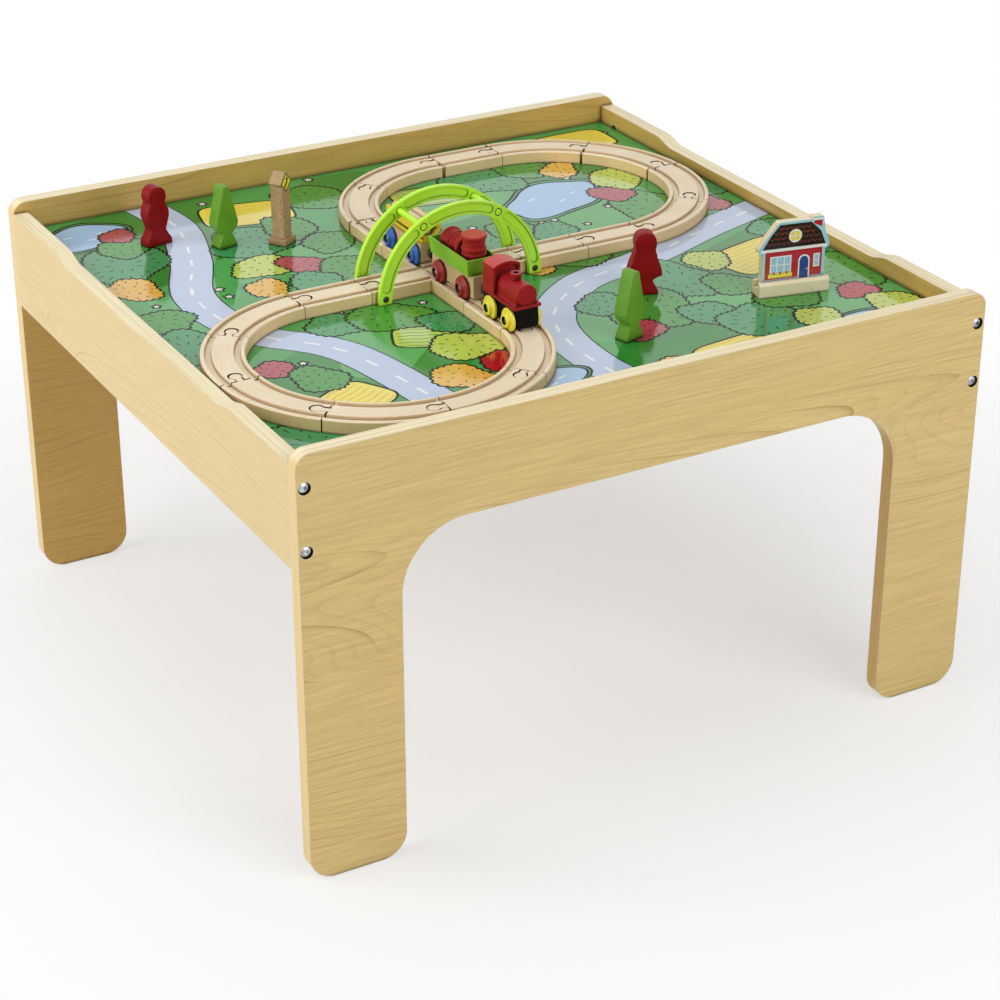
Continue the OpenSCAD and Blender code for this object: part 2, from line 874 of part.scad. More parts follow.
// A bar or an arc of track from the origin along +X, shortened at both ends
module track_body(curved, first_trim, last_trim) {
    inner_r = curve_r - half_track;
    first_turn = asin(first_trim / inner_r);
    last_turn = asin(last_trim / inner_r);
    if (curved)
        translate([0, curve_r, 0])
            rotate(first_turn - 90)
                rotate_extrude(angle = curve_turn - first_turn - last_turn, $fn = 2 * $fn)
                    translate([curve_r, 0])
                        track_section();
    else
        translate([first_trim, 0, 0])
            track_bar(straight_len - first_trim - last_trim);
}

// Children at the far end of a piece that starts at the origin
module at_far_end(curved) {
    far = after([0, 0, 0], curved);
    translate([far[0], far[1], 0])
        rotate(far[2])
            children();
}

// Piece i of a run, at its place on the board
module track_piece(run, poses, i, peg_first) {
    curved = run[i][0];
    pose = poses[i];
    color(beech)
        translate([pose[0], pose[1], board_z])
            rotate(pose[2])
                difference() {
                    union() {
                        track_body(curved, end_trim(run[i][1]), end_trim(next_turn(run, i)));
                        if (peg_first)
                            rotate(180)
                                track_peg();
                        else
                            at_far_end(curved)
                                track_peg();
                    }
                    if (peg_first)
                        at_far_end(curved)
                            rotate(180)
                                track_socket();
                    else
                        track_socket();
                }
}

module front_piece(i) {
    track_piece(front_run, front_poses, i, true);
}

module back_piece(i) {
    track_piece(back_run, back_poses, i, false);
}

module track_crossing() {
    half = cross_half - joint_gap / 2;
    color(beech)
        translate([cross_x, cross_y, board_z])
            difference() {
                union() {
                    for (turn = [0, 90])
                        rotate(turn)
                            translate([-half, -half_track, 0])
                                cube([2 * half, track_w, track_h]);
                    for (turn = [0, -90])
                        rotate(turn)
                            translate([cross_half, 0, 0])
                                track_peg();
                }
                for (turn = [0, 90, 180, 270])
                    rotate(turn)
                        translate([-half - overrun, groove_edge, track_h - groove_depth])
                            cube([2 * (half + overrun), groove_w, groove_depth + overrun]);
                for (turn = [90, 180])
                    rotate(turn)
                        translate([cross_half, 0, 0])
                            rotate(180)
                                track_socket();
            }
}

module front_straight_a() { front_piece(0); }
module front_curve_a() { front_piece(1); }
module front_curve_b() { front_piece(2); }
module front_curve_c() { front_piece(3); }
module front_curve_d() { front_piece(4); }
module front_curve_e() { front_piece(5); }
module front_curve_f() { front_piece(6); }
module front_straight_b() { front_piece(7); }
module back_straight_a() { back_piece(0); }
module back_straight_b() { back_piece(1); }
module back_curve_a() { back_piece(2); }
module back_curve_b() { back_piece(3); }
module back_curve_c() { back_piece(4); }
module back_curve_d() { back_piece(5); }
module back_straight_c() { back_piece(6); }
module back_curve_e() { back_piece(7); }
module back_curve_f() { back_piece(8); }
module back_straight_d() { back_piece(9); }

// Children on the straight arm at a place y, with +X towards the train's front
module on_arm(y) {
    translate([cross_x, y, board_z])
        rotate(-90)
            children();
}

// A chassis with its two axle bores and a bore for the coupling at each named end
module chassis(len, h, base, ends) {
    difference() {
        translate([-len / 2, -chassis_w / 2, chassis_h])
            cube([len, chassis_w, h]);
        for (side = [-1, 1])
            translate([side * base / 2, -chassis_w / 2 - overrun, wheel_h])
                along_y(axle_d + 2 * fit_gap, chassis_w + 2 * overrun);
        for (end = ends)
            translate([end * len / 2, 0, coupling_h])
                mirror([1 - end, 0, 0])
                    translate([-shank_len - fit_gap, 0, 0])
                        along_x(shank_d + 2 * fit_gap, shank_len + fit_gap + overrun);
    }
}

// A coupling that points along +X from the end of a chassis at the origin
module coupling() {
    translate([0, 0, coupling_h]) {
        translate([-shank_len, 0, 0])
            along_x(shank_d, shank_len + overrun);
        along_x(neck_d, coupling_len - magnet_h);
        translate([coupling_len - magnet_h - cup_len, 0, 0])
            along_x(coupling_d, cup_len);
        translate([coupling_len - magnet_h - overrun, 0, 0])
            along_x(magnet_d, magnet_h + overrun);
    }
}

// Two wheels on an axle across the origin
module wheelset() {
    outer = groove_gauge / 2 + wheel_w / 2;
    inner = outer - wheel_w;
    hub_r = wheel_hub_d / 2;
    face = outer + wheel_hub;
    eye_floor = face - wheel_eye;
    translate([0, 0, wheel_h]) {
        translate([0, -inner - overrun, 0])
            along_y(axle_d, 2 * (inner + overrun));
        for (side = [0, 1])
            mirror([0, side, 0])
                rotate([-90, 0, 0])
                    rotate_extrude()
                        polygon(concat(
                            [
                                [0, inner], [wheel_r - wheel_edge, inner], [wheel_r, inner + wheel_edge],
                                [wheel_r, outer - wheel_edge], [wheel_r - wheel_edge, outer]
                            ],
                            arc([hub_r + wheel_flare, outer + wheel_flare], wheel_flare, 270, 180, flare_steps),
                            [
                                [hub_r, outer + wheel_flare], [hub_r, face - wheel_edge], [hub_r - wheel_edge, face],
                                [wheel_eye_d / 2, face], [wheel_eye_d / 2, eye_floor], [axle_cap_d / 2, eye_floor],
                                [axle_cap_d / 2, eye_floor + axle_cap_h / 2], [axle_d / 2, eye_floor + axle_cap_h],
                                [0, eye_floor + axle_cap_h]
                            ]
                        ));
    }
}

module loco_chassis() {
    color("black")
        on_arm(loco_y)
            chassis(loco_len, loco_chassis_h, loco_base, [-1]);
}

// Front view of the cab above the footplate, drawn in by a margin
module cab_outline(margin) {
    half = cab_w / 2;
    roof_r = (pow(half, 2) + pow(roof_rise, 2)) / (2 * roof_rise);
    intersection() {
        translate([margin - half, 0])
            square([cab_w - 2 * margin, cab_wall_h + roof_rise]);
        translate([0, cab_wall_h + roof_rise - roof_r])
            circle(roof_r - margin, $fn = 2 * $fn);
    }
}

module loco_body() {
    cab_x = -loco_len / 2;
    color(deep_red)
        on_arm(loco_y)
            difference() {
                union() {
                    translate([cab_x, -cab_w / 2, plate_h])
                        cube([loco_len, cab_w, plate_t]);
                    translate([cab_x, 0, plate_top])
                        rotate([90, 0, 90])
                            difference() {
                                linear_extrude(cab_len)
                                    cab_outline(0);
                                translate([0, 0, cab_len - cab_hollow])
                                    linear_extrude(cab_hollow + overrun)
                                        cab_outline(cab_rim);
                            }
                    translate([cab_x + cab_len - cab_hollow - overrun, 0, boiler_h])
                        rotate([0, 90, 0])
                            boiler();
                    translate([cab_x + cab_len - cab_hollow - overrun, 0, plate_top])
                        rotate([90, 0, 90])
                            linear_extrude(boiler_len() - boiler_edge)
                                boiler_foot();
                }
                translate([chimney_x, 0, boiler_h + boiler_d / 2 - chimney_peg - fit_gap])
                    cylinder(d = chimney_peg_d + 2 * fit_gap, h = chimney_peg + fit_gap + overrun);
            }
}

// Front view of the boiler's foot, which flares onto the footplate
module boiler_foot() {
    half = boiler_d / 2;
    side = concat(
        [[half + boiler_flare, -plate_t / 2]],
        arc([half + boiler_flare, boiler_flare], boiler_flare, 270, 180, flare_steps),
        [[half, boiler_flare], [half, boiler_rise]]
    );
    polygon(concat(side, [for (i = [len(side) - 1 : -1 : 0]) [-side[i][0], side[i][1]]]));
}

// Length of the boiler from inside the cab's front to its own front
function boiler_len() = boiler_front - cab_len + loco_len / 2 + cab_hollow + overrun;

// The boiler along +Z with a rounded front edge
module boiler() {
    rotate_extrude()
        difference() {
            square([boiler_d / 2, boiler_len()]);
            translate([boiler_d / 2, boiler_len()])
                rotate(180)
                    corner_waste(boiler_edge);
        }
}

module loco_chimney() {
    foot_h = boiler_h + boiler_d / 2;
    color(deep_red)
        on_arm(loco_y)
            translate([chimney_x, 0, 0])
                difference() {
                    union() {
                        translate([0, 0, foot_h - chimney_peg])
                            cylinder(d = chimney_peg_d, h = chimney_peg + overrun);
                        difference() {
                            translate([0, 0, boiler_h])
                                cylinder(d = chimney_waist_d, h = boiler_d / 2 + chimney_h - overrun);
                            translate([-chimney_d, 0, boiler_h])
                                along_x(boiler_d + 2 * fit_gap, 2 * chimney_d);
                        }
                        translate([0, 0, foot_h + chimney_h - chimney_rim])
                            cylinder(d = chimney_d, h = chimney_rim);
                    }
                    translate([0, 0, foot_h + chimney_h - chimney_bore])
                        cylinder(d = chimney_bore_d, h = chimney_bore + overrun);
                }
}

module loco_front_wheels() {
    color("gold")
        on_arm(loco_y)
            translate([loco_base / 2, 0, 0])
                wheelset();
}

module loco_rear_wheels() {
    color("gold")
        on_arm(loco_y)
            translate([-loco_base / 2, 0, 0])
                wheelset();
}

module loco_coupling() {
    color("dimgray")
        on_arm(loco_y)
            mirror([1, 0, 0])
                translate([loco_len / 2, 0, 0])
                    coupling();
}

module barrel_wagon_chassis() {
    color(beech)
        on_arm(barrel_wagon_y)
            chassis(barrel_wagon_len, barrel_chassis_h, barrel_wagon_base, [-1, 1]);
}

// A box that widens evenly from its foot to its top
module flared_box(foot_len, foot_w, top_len, top_w, h) {
    intersection() {
        rotate([90, 0, 0])
            linear_extrude(2 * top_w, center = true)
                polygon([[-foot_len / 2, 0], [foot_len / 2, 0], [top_len / 2, h], [-top_len / 2, h]]);
        rotate([90, 0, 90])
            linear_extrude(2 * top_len, center = true)
                polygon([[-foot_w / 2, 0], [foot_w / 2, 0], [top_w / 2, h], [-top_w / 2, h]]);
    }
}

module barrel_wagon_tray() {
    floor_out = 2 * tray_flare * tray_floor / tray_h - 2 * tray_wall;
    rim_out = 2 * tray_flare * overrun / tray_h - 2 * tray_wall;
    color(leaf_green)
        on_arm(barrel_wagon_y)
            translate([0, 0, tray_z])
                difference() {
                    flared_box(tray_foot_len, tray_foot_w, tray_len, tray_w, tray_h);
                    translate([0, 0, tray_floor])
                        flared_box(
                            tray_foot_len + floor_out, tray_foot_w + floor_out,
                            tray_len + rim_out, tray_w + rim_out, tray_h - tray_floor + overrun
                        );
                }
}

// A barrel that stands on the origin
module barrel() {
    rotate_extrude()
        polygon(sized(barrel_shares, barrel_d / 2, barrel_len));
}

module standing_barrel() {
    color(deep_red)
        on_arm(barrel_wagon_y)
            translate([standing_x, 0, tray_z + tray_floor])
                barrel();
}

module lying_barrel() {
    color(deep_red)
        on_arm(barrel_wagon_y)
            translate([lying_x - barrel_len / 2, 0, tray_z + tray_floor + barrel_d / 2 + lying_lift])
                rotate([0, 90, 0])
                    barrel();
}

module barrel_wagon_front_wheels() {
    color(deep_red)
        on_arm(barrel_wagon_y)
            translate([barrel_wagon_base / 2, 0, 0])
                wheelset();
}

module barrel_wagon_rear_wheels() {
    color(deep_red)
        on_arm(barrel_wagon_y)
            translate([-barrel_wagon_base / 2, 0, 0])
                wheelset();
}

module barrel_wagon_couplings() {
    color("dimgray")
        on_arm(barrel_wagon_y)
            for (side = [0, 1])
                mirror([side, 0, 0])
                    translate([barrel_wagon_len / 2, 0, 0])
                        coupling();
}

module log_wagon_chassis() {
    color(beech)
        on_arm(log_wagon_y)
            chassis(log_wagon_len, log_chassis_h, log_wagon_base, [-1, 1]);
}

// An eight-sided figure whose flats lie at a distance from its middle
module octagon(flat) {
    rotate(22.5)
        circle(flat / cos(22.5), $fn = 8);
}

module log_wagon_cradle() {
    outer = log_bed + cradle_wall;
    foot_h = chassis_h + log_chassis_h - log_h;
    color("gold")
        on_arm(log_wagon_y)
            translate([-cradle_len / 2, 0, log_h])
                rotate([90, 0, 90])
                    linear_extrude(cradle_len)
                        difference() {
                            union() {
                                octagon(outer);
                                translate([-cradle_foot_w / 2, foot_h])
                                    square([cradle_foot_w, cradle_foot + cradle_wall / 2]);
                            }
                            octagon(log_bed);
                            translate([-outer - overrun, cradle_rim])
                                square([2 * (outer + overrun), outer + overrun]);
                        }
}

module log_wagon_logs() {
    color("tan")
        on_arm(log_wagon_y)
            translate([-log_len / 2, 0, log_h])
                for (place = [[0, log_low], [-log_side, log_high], [log_side, log_high]])
                    translate([0, place[0], place[1]])
                        along_x(log_d, log_len);
}

module log_wagon_front_wheels() {
    color("royalblue")
        on_arm(log_wagon_y)
            translate([log_wagon_base / 2, 0, 0])
                wheelset();
}

module log_wagon_rear_wheels() {
    color("royalblue")
        on_arm(log_wagon_y)
            translate([-log_wagon_base / 2, 0, 0])
                wheelset();
}

module log_wagon_couplings() {
    color("dimgray")
        on_arm(log_wagon_y)
            for (side = [0, 1])
                mirror([side, 0, 0])
                    translate([log_wagon_len / 2, 0, 0])
                        coupling();
}

// A half ring of the bridge's band
module arch_outline() {
    difference() {
        circle(bridge_r, $fn = 3 * $fn);
        circle(bridge_r - bridge_band, $fn = 3 * $fn);
        translate([-2 * bridge_r, -2 * bridge_r])
            square([4 * bridge_r, 2 * bridge_r]);
    }
}

// A point at a radius and an angle
function polar(r, turn) = [r * cos(turn), r * sin(turn)];

// The points of an arc about a middle, without its last point
function arc(middle, r, first, last, steps) =
    [for (i = [0 : steps - 1]) middle + polar(r, first + (last - first) * i / steps)];

// A field with round ends between two angles of the band
function field_outline(first, last) = concat(
    arc([0, 0], bridge_mid_r + bridge_field, first, last, field_steps),
    arc(polar(bridge_mid_r, last), bridge_field, last, last + 180, cap_steps),
    arc([0, 0], bridge_mid_r - bridge_field, last, first, field_steps),
    arc(polar(bridge_mid_r, first), bridge_field, first + 180, first + 360, cap_steps)
);

// A sunk field between two angles of the band, cut from below z = 0
module arch_field(first, last) {
    translate([0, 0, -overrun])
        linear_extrude(bridge_sink + overrun)
            polygon(field_outline(first, last));
}

module arch_fields() {
    arch_field(foot_turn, rod_angle - field_turn);
    arch_field(rod_angle + field_turn, 180 - rod_angle - field_turn);
    arch_field(180 - rod_angle + field_turn, 180 - foot_turn);
}

// Children at the rods' places in an arch that lies flat
module at_rods() {
    for (turn = [rod_angle, 180 - rod_angle])
        translate(polar(bridge_mid_r, turn))
            children();
}

// Children at the pins' places in an arch that lies flat
module at_pins() {
    for (side = [-1, 1])
        translate([side * pin_x, pin_h, 0])
            children();
}

// An arch that lies flat, with its outer face at z = 0
module arch() {
    difference() {
        linear_extrude(bridge_t)
            arch_outline();
        arch_fields();
        translate([0, 0, bridge_t])
            mirror([0, 0, 1])
                arch_fields();
        at_rods() {
            translate([0, 0, -overrun])
                cylinder(d = rod_d + 2 * fit_gap, h = bridge_t + 2 * overrun);
            translate([0, 0, -overrun])
                cylinder(d = rod_d + 2 * rod_ring, h = bridge_sink + overrun);
        }
        at_pins()
            translate([0, 0, -overrun])
                cylinder(d = pin_d + 2 * fit_gap, h = bridge_t + 2 * overrun);
    }
}

// Children that lie flat, stood up with their z = 0 face to the front at a place y
module stood_at(y) {
    translate([bridge_x, y, board_z])
        rotate([90, 0, 0])
            mirror([0, 0, 1])
                children();
}

module bridge_front_arch() {
    color(lime)
        stood_at(bridge_front_y)
            arch();
}

module bridge_back_arch() {
    color(lime)
        stood_at(bridge_back_y + bridge_t)
            mirror([0, 0, 1])
                arch();
}

module bridge_rods() {
    color(lime)
        stood_at(bridge_front_y)
            at_rods()
                cylinder(d = rod_d, h = bridge_back_y + bridge_t - bridge_front_y);
}

module pin() {
    cylinder(d = pin_d, h = bridge_t);
    translate([0, 0, -pin_head_h])
        cylinder(d1 = pin_d, d2 = pin_head_d, h = pin_head_h);
}

module bridge_pins() {
    color("dimgray") {
        stood_at(bridge_front_y)
            at_pins()
                pin();
        stood_at(bridge_back_y + bridge_t)
            mirror([0, 0, 1])
                at_pins()
                    pin();
    }
}

// A place on the board, in from its left and back edges
function from_back_left(inset) = [inset[0] - inner_w / 2, inner_d / 2 - inset[1]];

// A place on the board, in from its right and front edges
function from_front_right(inset) = [inner_w / 2 - inset[0], inset[1] - inner_d / 2];

// A place on the board, away from the middle of the crossing
function from_crossing(away) = [cross_x + away[0], cross_y + away[1]];

// Children on the play surface at a place and a turn, with their front to -Y
module on_board(place, turn) {
    translate([place[0], place[1], board_z])
        rotate(turn)
            children();
}

// An outline in the upright plane, given a thickness about y = 0
module upright(thickness) {
    translate([0, thickness / 2, 0])
        rotate([90, 0, 0])
            linear_extrude(thickness)
                children();
}

// A figure or tree from the points of its right side
module silhouette(points) {
    upright(toy_t)
        polygon(concat(points, mirrored(points)));
}

module man_figure() {
    color(deep_red)
        on_board(from_back_left(man_inset), man_turn)
            silhouette(smooth(sized(man_shares, man_w / 2, man_h), outline_steps));
}

module woman_figure() {
    color(deep_red)
        on_board(from_crossing(woman_offset), woman_turn)
            silhouette(smooth(sized(woman_shares, woman_w / 2, woman_h), outline_steps));
}

module back_tree() {
    color(leaf_green)
        on_board(from_back_left(back_tree_inset), back_tree_turn)
            silhouette(sized(tree_shares, back_tree_w / 2, back_tree_h));
}

module front_tree() {
    color(leaf_green)
        on_board(from_crossing(front_tree_offset), front_tree_turn)
            silhouette(sized(tree_shares, front_tree_w / 2, front_tree_h));
}

module sign_post() {
    color("rosybrown")
        on_board(from_back_left(sign_inset), sign_turn) {
            translate([-sign_foot_w / 2, -sign_foot_w / 2, 0])
                cube([sign_foot_w, sign_foot_w, sign_foot_h]);
            upright(sign_post_w) {
                translate([-sign_post_w / 2, 0])
                    square([sign_post_w, sign_head_h]);
                translate([0, sign_head_h])
                    rotate(45)
                        square(sign_head_w, center = true);
            }
        }
}

// The house board's outline above the floor of its slot
module house_outline() {
    half = house_w / 2;
    h = house_h - slot_bottom;
    foot = [[-half * house_wall_share, 0], [half * house_wall_share, 0]];
    polygon(concat(foot, sized(house_right_shares, half, h), sized(house_left_shares, half, h)));
}

module house_board() {
    color("lightblue")
        on_board(from_front_right(house_inset), house_turn)
            translate([0, 0, slot_bottom])
                upright(house_t)
                    house_outline();
}

module house_base() {
    half = house_base_d / 2;
    slot_w = house_t + 2 * fit_gap;
    color(beech)
        on_board(from_front_right(house_inset), house_turn)
            translate([-house_base_len / 2, 0, 0])
                rotate([90, 0, 90])
                    linear_extrude(house_base_len)
                        difference() {
                            polygon([
                                [-half, 0], [half, 0],
                                [half, house_base_h - house_chamfer], [half - house_chamfer, house_base_h],
                                [house_chamfer - half, house_base_h], [-half, house_base_h - house_chamfer]
                            ]);
                            translate([-slot_w / 2, slot_bottom])
                                square([slot_w, slot_depth + overrun]);
                        }
}

front_panel();
back_panel();
left_rail();
right_rail();
play_board();
side_cleats();
end_cleats();
centre_brace();
corner_bolts();
barrel_nuts();
cleat_screws();
track_crossing();
front_straight_a();
front_curve_a();
front_curve_b();
front_curve_c();
front_curve_d();
front_curve_e();
front_curve_f();
front_straight_b();
back_straight_a();
back_straight_b();
back_curve_a();
back_curve_b();
back_curve_c();
back_curve_d();
back_straight_c();
back_curve_e();
back_curve_f();
back_straight_d();
loco_chassis();
loco_body();
loco_chimney();
loco_front_wheels();
loco_rear_wheels();
loco_coupling();
barrel_wagon_chassis();
barrel_wagon_tray();
standing_barrel();
lying_barrel();
barrel_wagon_front_wheels();
barrel_wagon_rear_wheels();
barrel_wagon_couplings();
log_wagon_chassis();
log_wagon_cradle();
log_wagon_logs();
log_wagon_front_wheels();
log_wagon_rear_wheels();
log_wagon_couplings();
bridge_front_arch();
bridge_back_arch();
bridge_rods();
bridge_pins();
man_figure();
woman_figure();
back_tree();
front_tree();
sign_post();
house_board();
house_base();
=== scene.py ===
"""Looks of the train table: its finishes, the printed board, the small toys and the studio around it.

All lengths are metres in the part's own frame, with MM for small sizes.
Display colours are written as 0 to 255.
"""

import json
import logging
import math
import random
from dataclasses import dataclass, field, replace
from enum import Enum
from typing import Callable, ClassVar, Iterable, Sequence, Union

import bmesh
import bpy
from mathutils import Matrix, Vector
from mathutils.bvhtree import BVHTree
from mathutils.geometry import delaunay_2d_cdt

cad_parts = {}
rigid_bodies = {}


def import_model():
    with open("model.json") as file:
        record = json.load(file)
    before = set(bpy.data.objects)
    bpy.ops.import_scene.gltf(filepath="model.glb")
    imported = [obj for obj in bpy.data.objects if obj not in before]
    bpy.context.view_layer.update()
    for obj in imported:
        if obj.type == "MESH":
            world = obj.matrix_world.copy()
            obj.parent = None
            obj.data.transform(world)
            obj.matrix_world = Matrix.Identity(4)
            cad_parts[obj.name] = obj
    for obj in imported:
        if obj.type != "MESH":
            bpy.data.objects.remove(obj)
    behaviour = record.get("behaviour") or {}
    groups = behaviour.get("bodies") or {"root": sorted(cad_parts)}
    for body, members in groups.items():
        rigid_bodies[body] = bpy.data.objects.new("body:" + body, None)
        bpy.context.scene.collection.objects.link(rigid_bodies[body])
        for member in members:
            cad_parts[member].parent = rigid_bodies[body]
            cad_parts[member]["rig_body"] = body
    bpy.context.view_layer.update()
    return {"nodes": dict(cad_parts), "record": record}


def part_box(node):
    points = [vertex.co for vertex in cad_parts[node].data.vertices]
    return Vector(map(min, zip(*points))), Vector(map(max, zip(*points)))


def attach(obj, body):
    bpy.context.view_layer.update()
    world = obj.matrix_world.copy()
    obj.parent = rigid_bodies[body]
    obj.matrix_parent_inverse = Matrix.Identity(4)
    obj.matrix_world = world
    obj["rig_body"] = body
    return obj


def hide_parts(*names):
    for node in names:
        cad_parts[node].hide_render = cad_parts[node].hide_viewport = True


for leftover in list(bpy.data.objects):
    bpy.data.objects.remove(leftover)
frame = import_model()

LOG = logging.getLogger("train_table")
MM = 0.001

Point = tuple[float, float]
Span = tuple[float, float]
Triple = tuple[float, float, float]
Socket = bpy.types.NodeSocket
Value = Union[float, tuple, Socket]
FaceTest = Callable[[Vector, Vector], bool]


@dataclass(frozen=True)
class Tone:
    """A display colour with channels from 0 to 255."""

    red: int
    green: int
    blue: int

    def linear(self) -> tuple[float, float, float, float]:
        """The colour as scene linear values with full opacity, by the sRGB curve."""
        shares = [channel / 255 for channel in (self.red, self.green, self.blue)]
        return (*[s / 12.92 if s <= 0.04045 else ((s + 0.055) / 1.055) ** 2.4 for s in shares], 1.0)


class GrainAxis(Enum):
    """The frame axis that a grain follows, as the order in which the coordinates are read."""

    X = (0, 1, 2)
    Y = (1, 0, 2)
    Z = (2, 0, 1)


class Graph:
    """Short calls that add and link the nodes of one tree.

    A Mix node in colour mode takes its factor and its two colours at MIX_INPUTS, and gives MIX_OUTPUT.
    """

    MIX_INPUTS = (0, 6, 7)
    MIX_OUTPUT = 2

    def __init__(self, tree: bpy.types.NodeTree) -> None:
        """Hold the tree that the nodes go into."""
        self.tree = tree

    def add(self, kind: str, **settings: object) -> bpy.types.Node:
        """Add a shader node.

        Args:
            kind: The node's type without its prefix.
            settings: Attributes to set on the new node.

        Returns:
            The new node.
        """
        node = self.tree.nodes.new("ShaderNode" + kind)
        for name, value in settings.items():
            setattr(node, name, value)
        return node

    def put(self, socket: Socket, value: Value) -> None:
        """Link an output to a socket, or set the socket's own value.

        Args:
            socket: The socket.
            value: The output to link, or the value to set.
        """
        if isinstance(value, bpy.types.NodeSocket):
            self.tree.links.new(value, socket)
        else:
            socket.default_value = value

    def math(self, kind: str, *values: Value) -> Socket:
        """Work out a number from one to three others.

        Args:
            kind: Blender's name of the operation.
            values: Its inputs in order.

        Returns:
            The result.
        """
        node = self.add("Math", operation=kind)
        for socket, value in zip(node.inputs, values):
            self.put(socket, value)
        return node.outputs[0]

    def vector(self, kind: str, *values: Value) -> Socket:
        """Work out a vector, or the number that a dot product or a length gives.

        Args:
            kind: Blender's name of the operation.
            values: Its inputs in order.

        Returns:
            The result.
        """
        node = self.add("VectorMath", operation=kind)
        for socket, value in zip(node.inputs, values):
            self.put(socket, value)
        return node.outputs["Value" if kind in ("DOT_PRODUCT", "LENGTH") else "Vector"]

    def scaled(self, vector: Socket, amount: Value) -> Socket:
        """Scale a vector by one number.

        Args:
            vector: The vector.
            amount: The number.

        Returns:
            The scaled vector.
        """
        node = self.add("VectorMath", operation="SCALE")
        self.put(node.inputs["Vector"], vector)
        self.put(node.inputs["Scale"], amount)
        return node.outputs["Vector"]

    def mix(self, share: Value, first: Value, second: Value, mode: str = "MIX") -> Socket:
        """Mix two colours.

        Args:
            share: How much of the second colour shows.
            first: The colour at a share of 0.
            second: The colour at a share of 1.
            mode: Blender's name of the blend.

        Returns:
            The mixed colour.
        """
        node = self.add("Mix", data_type="RGBA", blend_type=mode)
        for index, value in zip(self.MIX_INPUTS, (share, first, second)):
            self.put(node.inputs[index], value)
        return node.outputs[self.MIX_OUTPUT]

    def tint(self, tone: Value, other: Tone, mask: Socket, share: float) -> Socket:
        """Mix another colour into a colour where a mask shows.

        Args:
            tone: The colour so far.
            other: The colour to mix in.
            mask: Where it goes, from 0 to 1.
            share: How much of it shows where the mask is full.

        Returns:
            The mixed colour.
        """
        return self.mix(self.math("MULTIPLY", mask, share), tone, other.linear())

    def spread(
        self, value: Socket, low: float, high: float, to_low: float = 0.0, to_high: float = 1.0
    ) -> Socket:
        """Map a stretch of a value smoothly onto another stretch, clamped at its ends.

        Args:
            value: The value.
            low: Where the stretch starts.
            high: Where it ends, which may be below the start.
            to_low: The result at the start.
            to_high: The result at the end.

        Returns:
            The mapped value.
        """
        node = self.add("MapRange", interpolation_type="SMOOTHSTEP")
        for socket, number in zip(node.inputs, (value, low, high, to_low, to_high)):
            self.put(socket, number)
        return node.outputs[0]

    def noise(self, vector: Socket, scale: float, detail: float = 2.0, rough: float = 0.5) -> Socket:
        """A noise value from 0 to 1 over a vector.

        Args:
            vector: Where the noise is read.
            scale: Its waves per unit.
            detail: How many finer layers it has.
            rough: How strong each finer layer is.

        Returns:
            The value.
        """
        node = self.add("TexNoise")
        for name, value in (("Vector", vector), ("Scale", scale), ("Detail", detail), ("Roughness", rough)):
            self.put(node.inputs[name], value)
        return node.outputs["Fac"]

    def waves(self, vector: Socket, counts: Triple, detail: float = 2.0, rough: float = 0.5) -> Socket:
        """A noise value from 0 to 1 with its own count of waves per metre along each axis."""
        return self.noise(self.vector("MULTIPLY", vector, counts), 1.0, detail, rough)

    def reordered(self, vector: Socket, axis: GrainAxis) -> Socket:
        """Read a vector's coordinates so that its first one runs along an axis.

        Args:
            vector: The vector.
            axis: The axis.

        Returns:
            The reordered vector.
        """
        parts = self.add("SeparateXYZ")
        whole = self.add("CombineXYZ")
        self.put(parts.inputs[0], vector)
        for socket, index in zip(whole.inputs, axis.value):
            self.put(socket, parts.outputs[index])
        return whole.outputs[0]

    def along(self, vector: Socket, axis: GrainAxis) -> Socket:
        """The size of a vector's share along an axis.

        Args:
            vector: The vector.
            axis: The axis.

        Returns:
            The share, without its sign.
        """
        parts = self.add("SeparateXYZ")
        self.put(parts.inputs[0], vector)
        return self.math("ABSOLUTE", parts.outputs[axis.value[0]])

    def group(self, tree: bpy.types.NodeTree, **values: Value) -> bpy.types.Node:
        """Place a shared effect with its own values.

        Args:
            tree: The effect's node tree.
            values: Values or links by input name.

        Returns:
            The placed node.
        """
        node = self.add("Group", node_tree=tree)
        for name, value in values.items():
            self.put(node.inputs[name], value)
        return node

    def bump(self, height: Socket, distance: float, normal: Socket) -> Socket:
        """A normal that is raised by a height over another normal.

        Args:
            height: The height.
            distance: How far a height of 1 rises.
            normal: The normal to start from.

        Returns:
            The raised normal.
        """
        node = self.add("Bump")
        for name, value in (("Distance", distance), ("Height", height), ("Normal", normal)):
            self.put(node.inputs[name], value)
        return node.outputs["Normal"]


@dataclass(frozen=True)
class GrainFigure:
    """Numbers of the wood grain. A triple counts waves per metre along the grain and across it."""

    wander: Triple = (1.0, 7.0, 7.0)
    wander_detail: float = 1.0
    wander_rough: float = 0.3
    rows: Triple = (0.0, 80.0, 80.0)
    coarse_sway: float = 30.0
    coarse_power: float = 14.0
    coarse_share: float = 0.9
    fine_rows: float = 3.5
    fine_sway: float = 105.0
    fine_power: float = 5.0
    fine_share: float = 0.26
    patches: Triple = (5.0, 26.0, 26.0)
    patch_span: Span = (0.38, 0.66)
    fibres: Triple = (14.0, 420.0, 420.0)
    fibre_detail: float = 4.0
    fibre_rough: float = 0.65
    fibre_span: Span = (0.3, 0.7)
    flecks: Triple = (95.0, 820.0, 820.0)
    fleck_detail: float = 1.0
    fleck_span: Span = (0.62, 0.74)


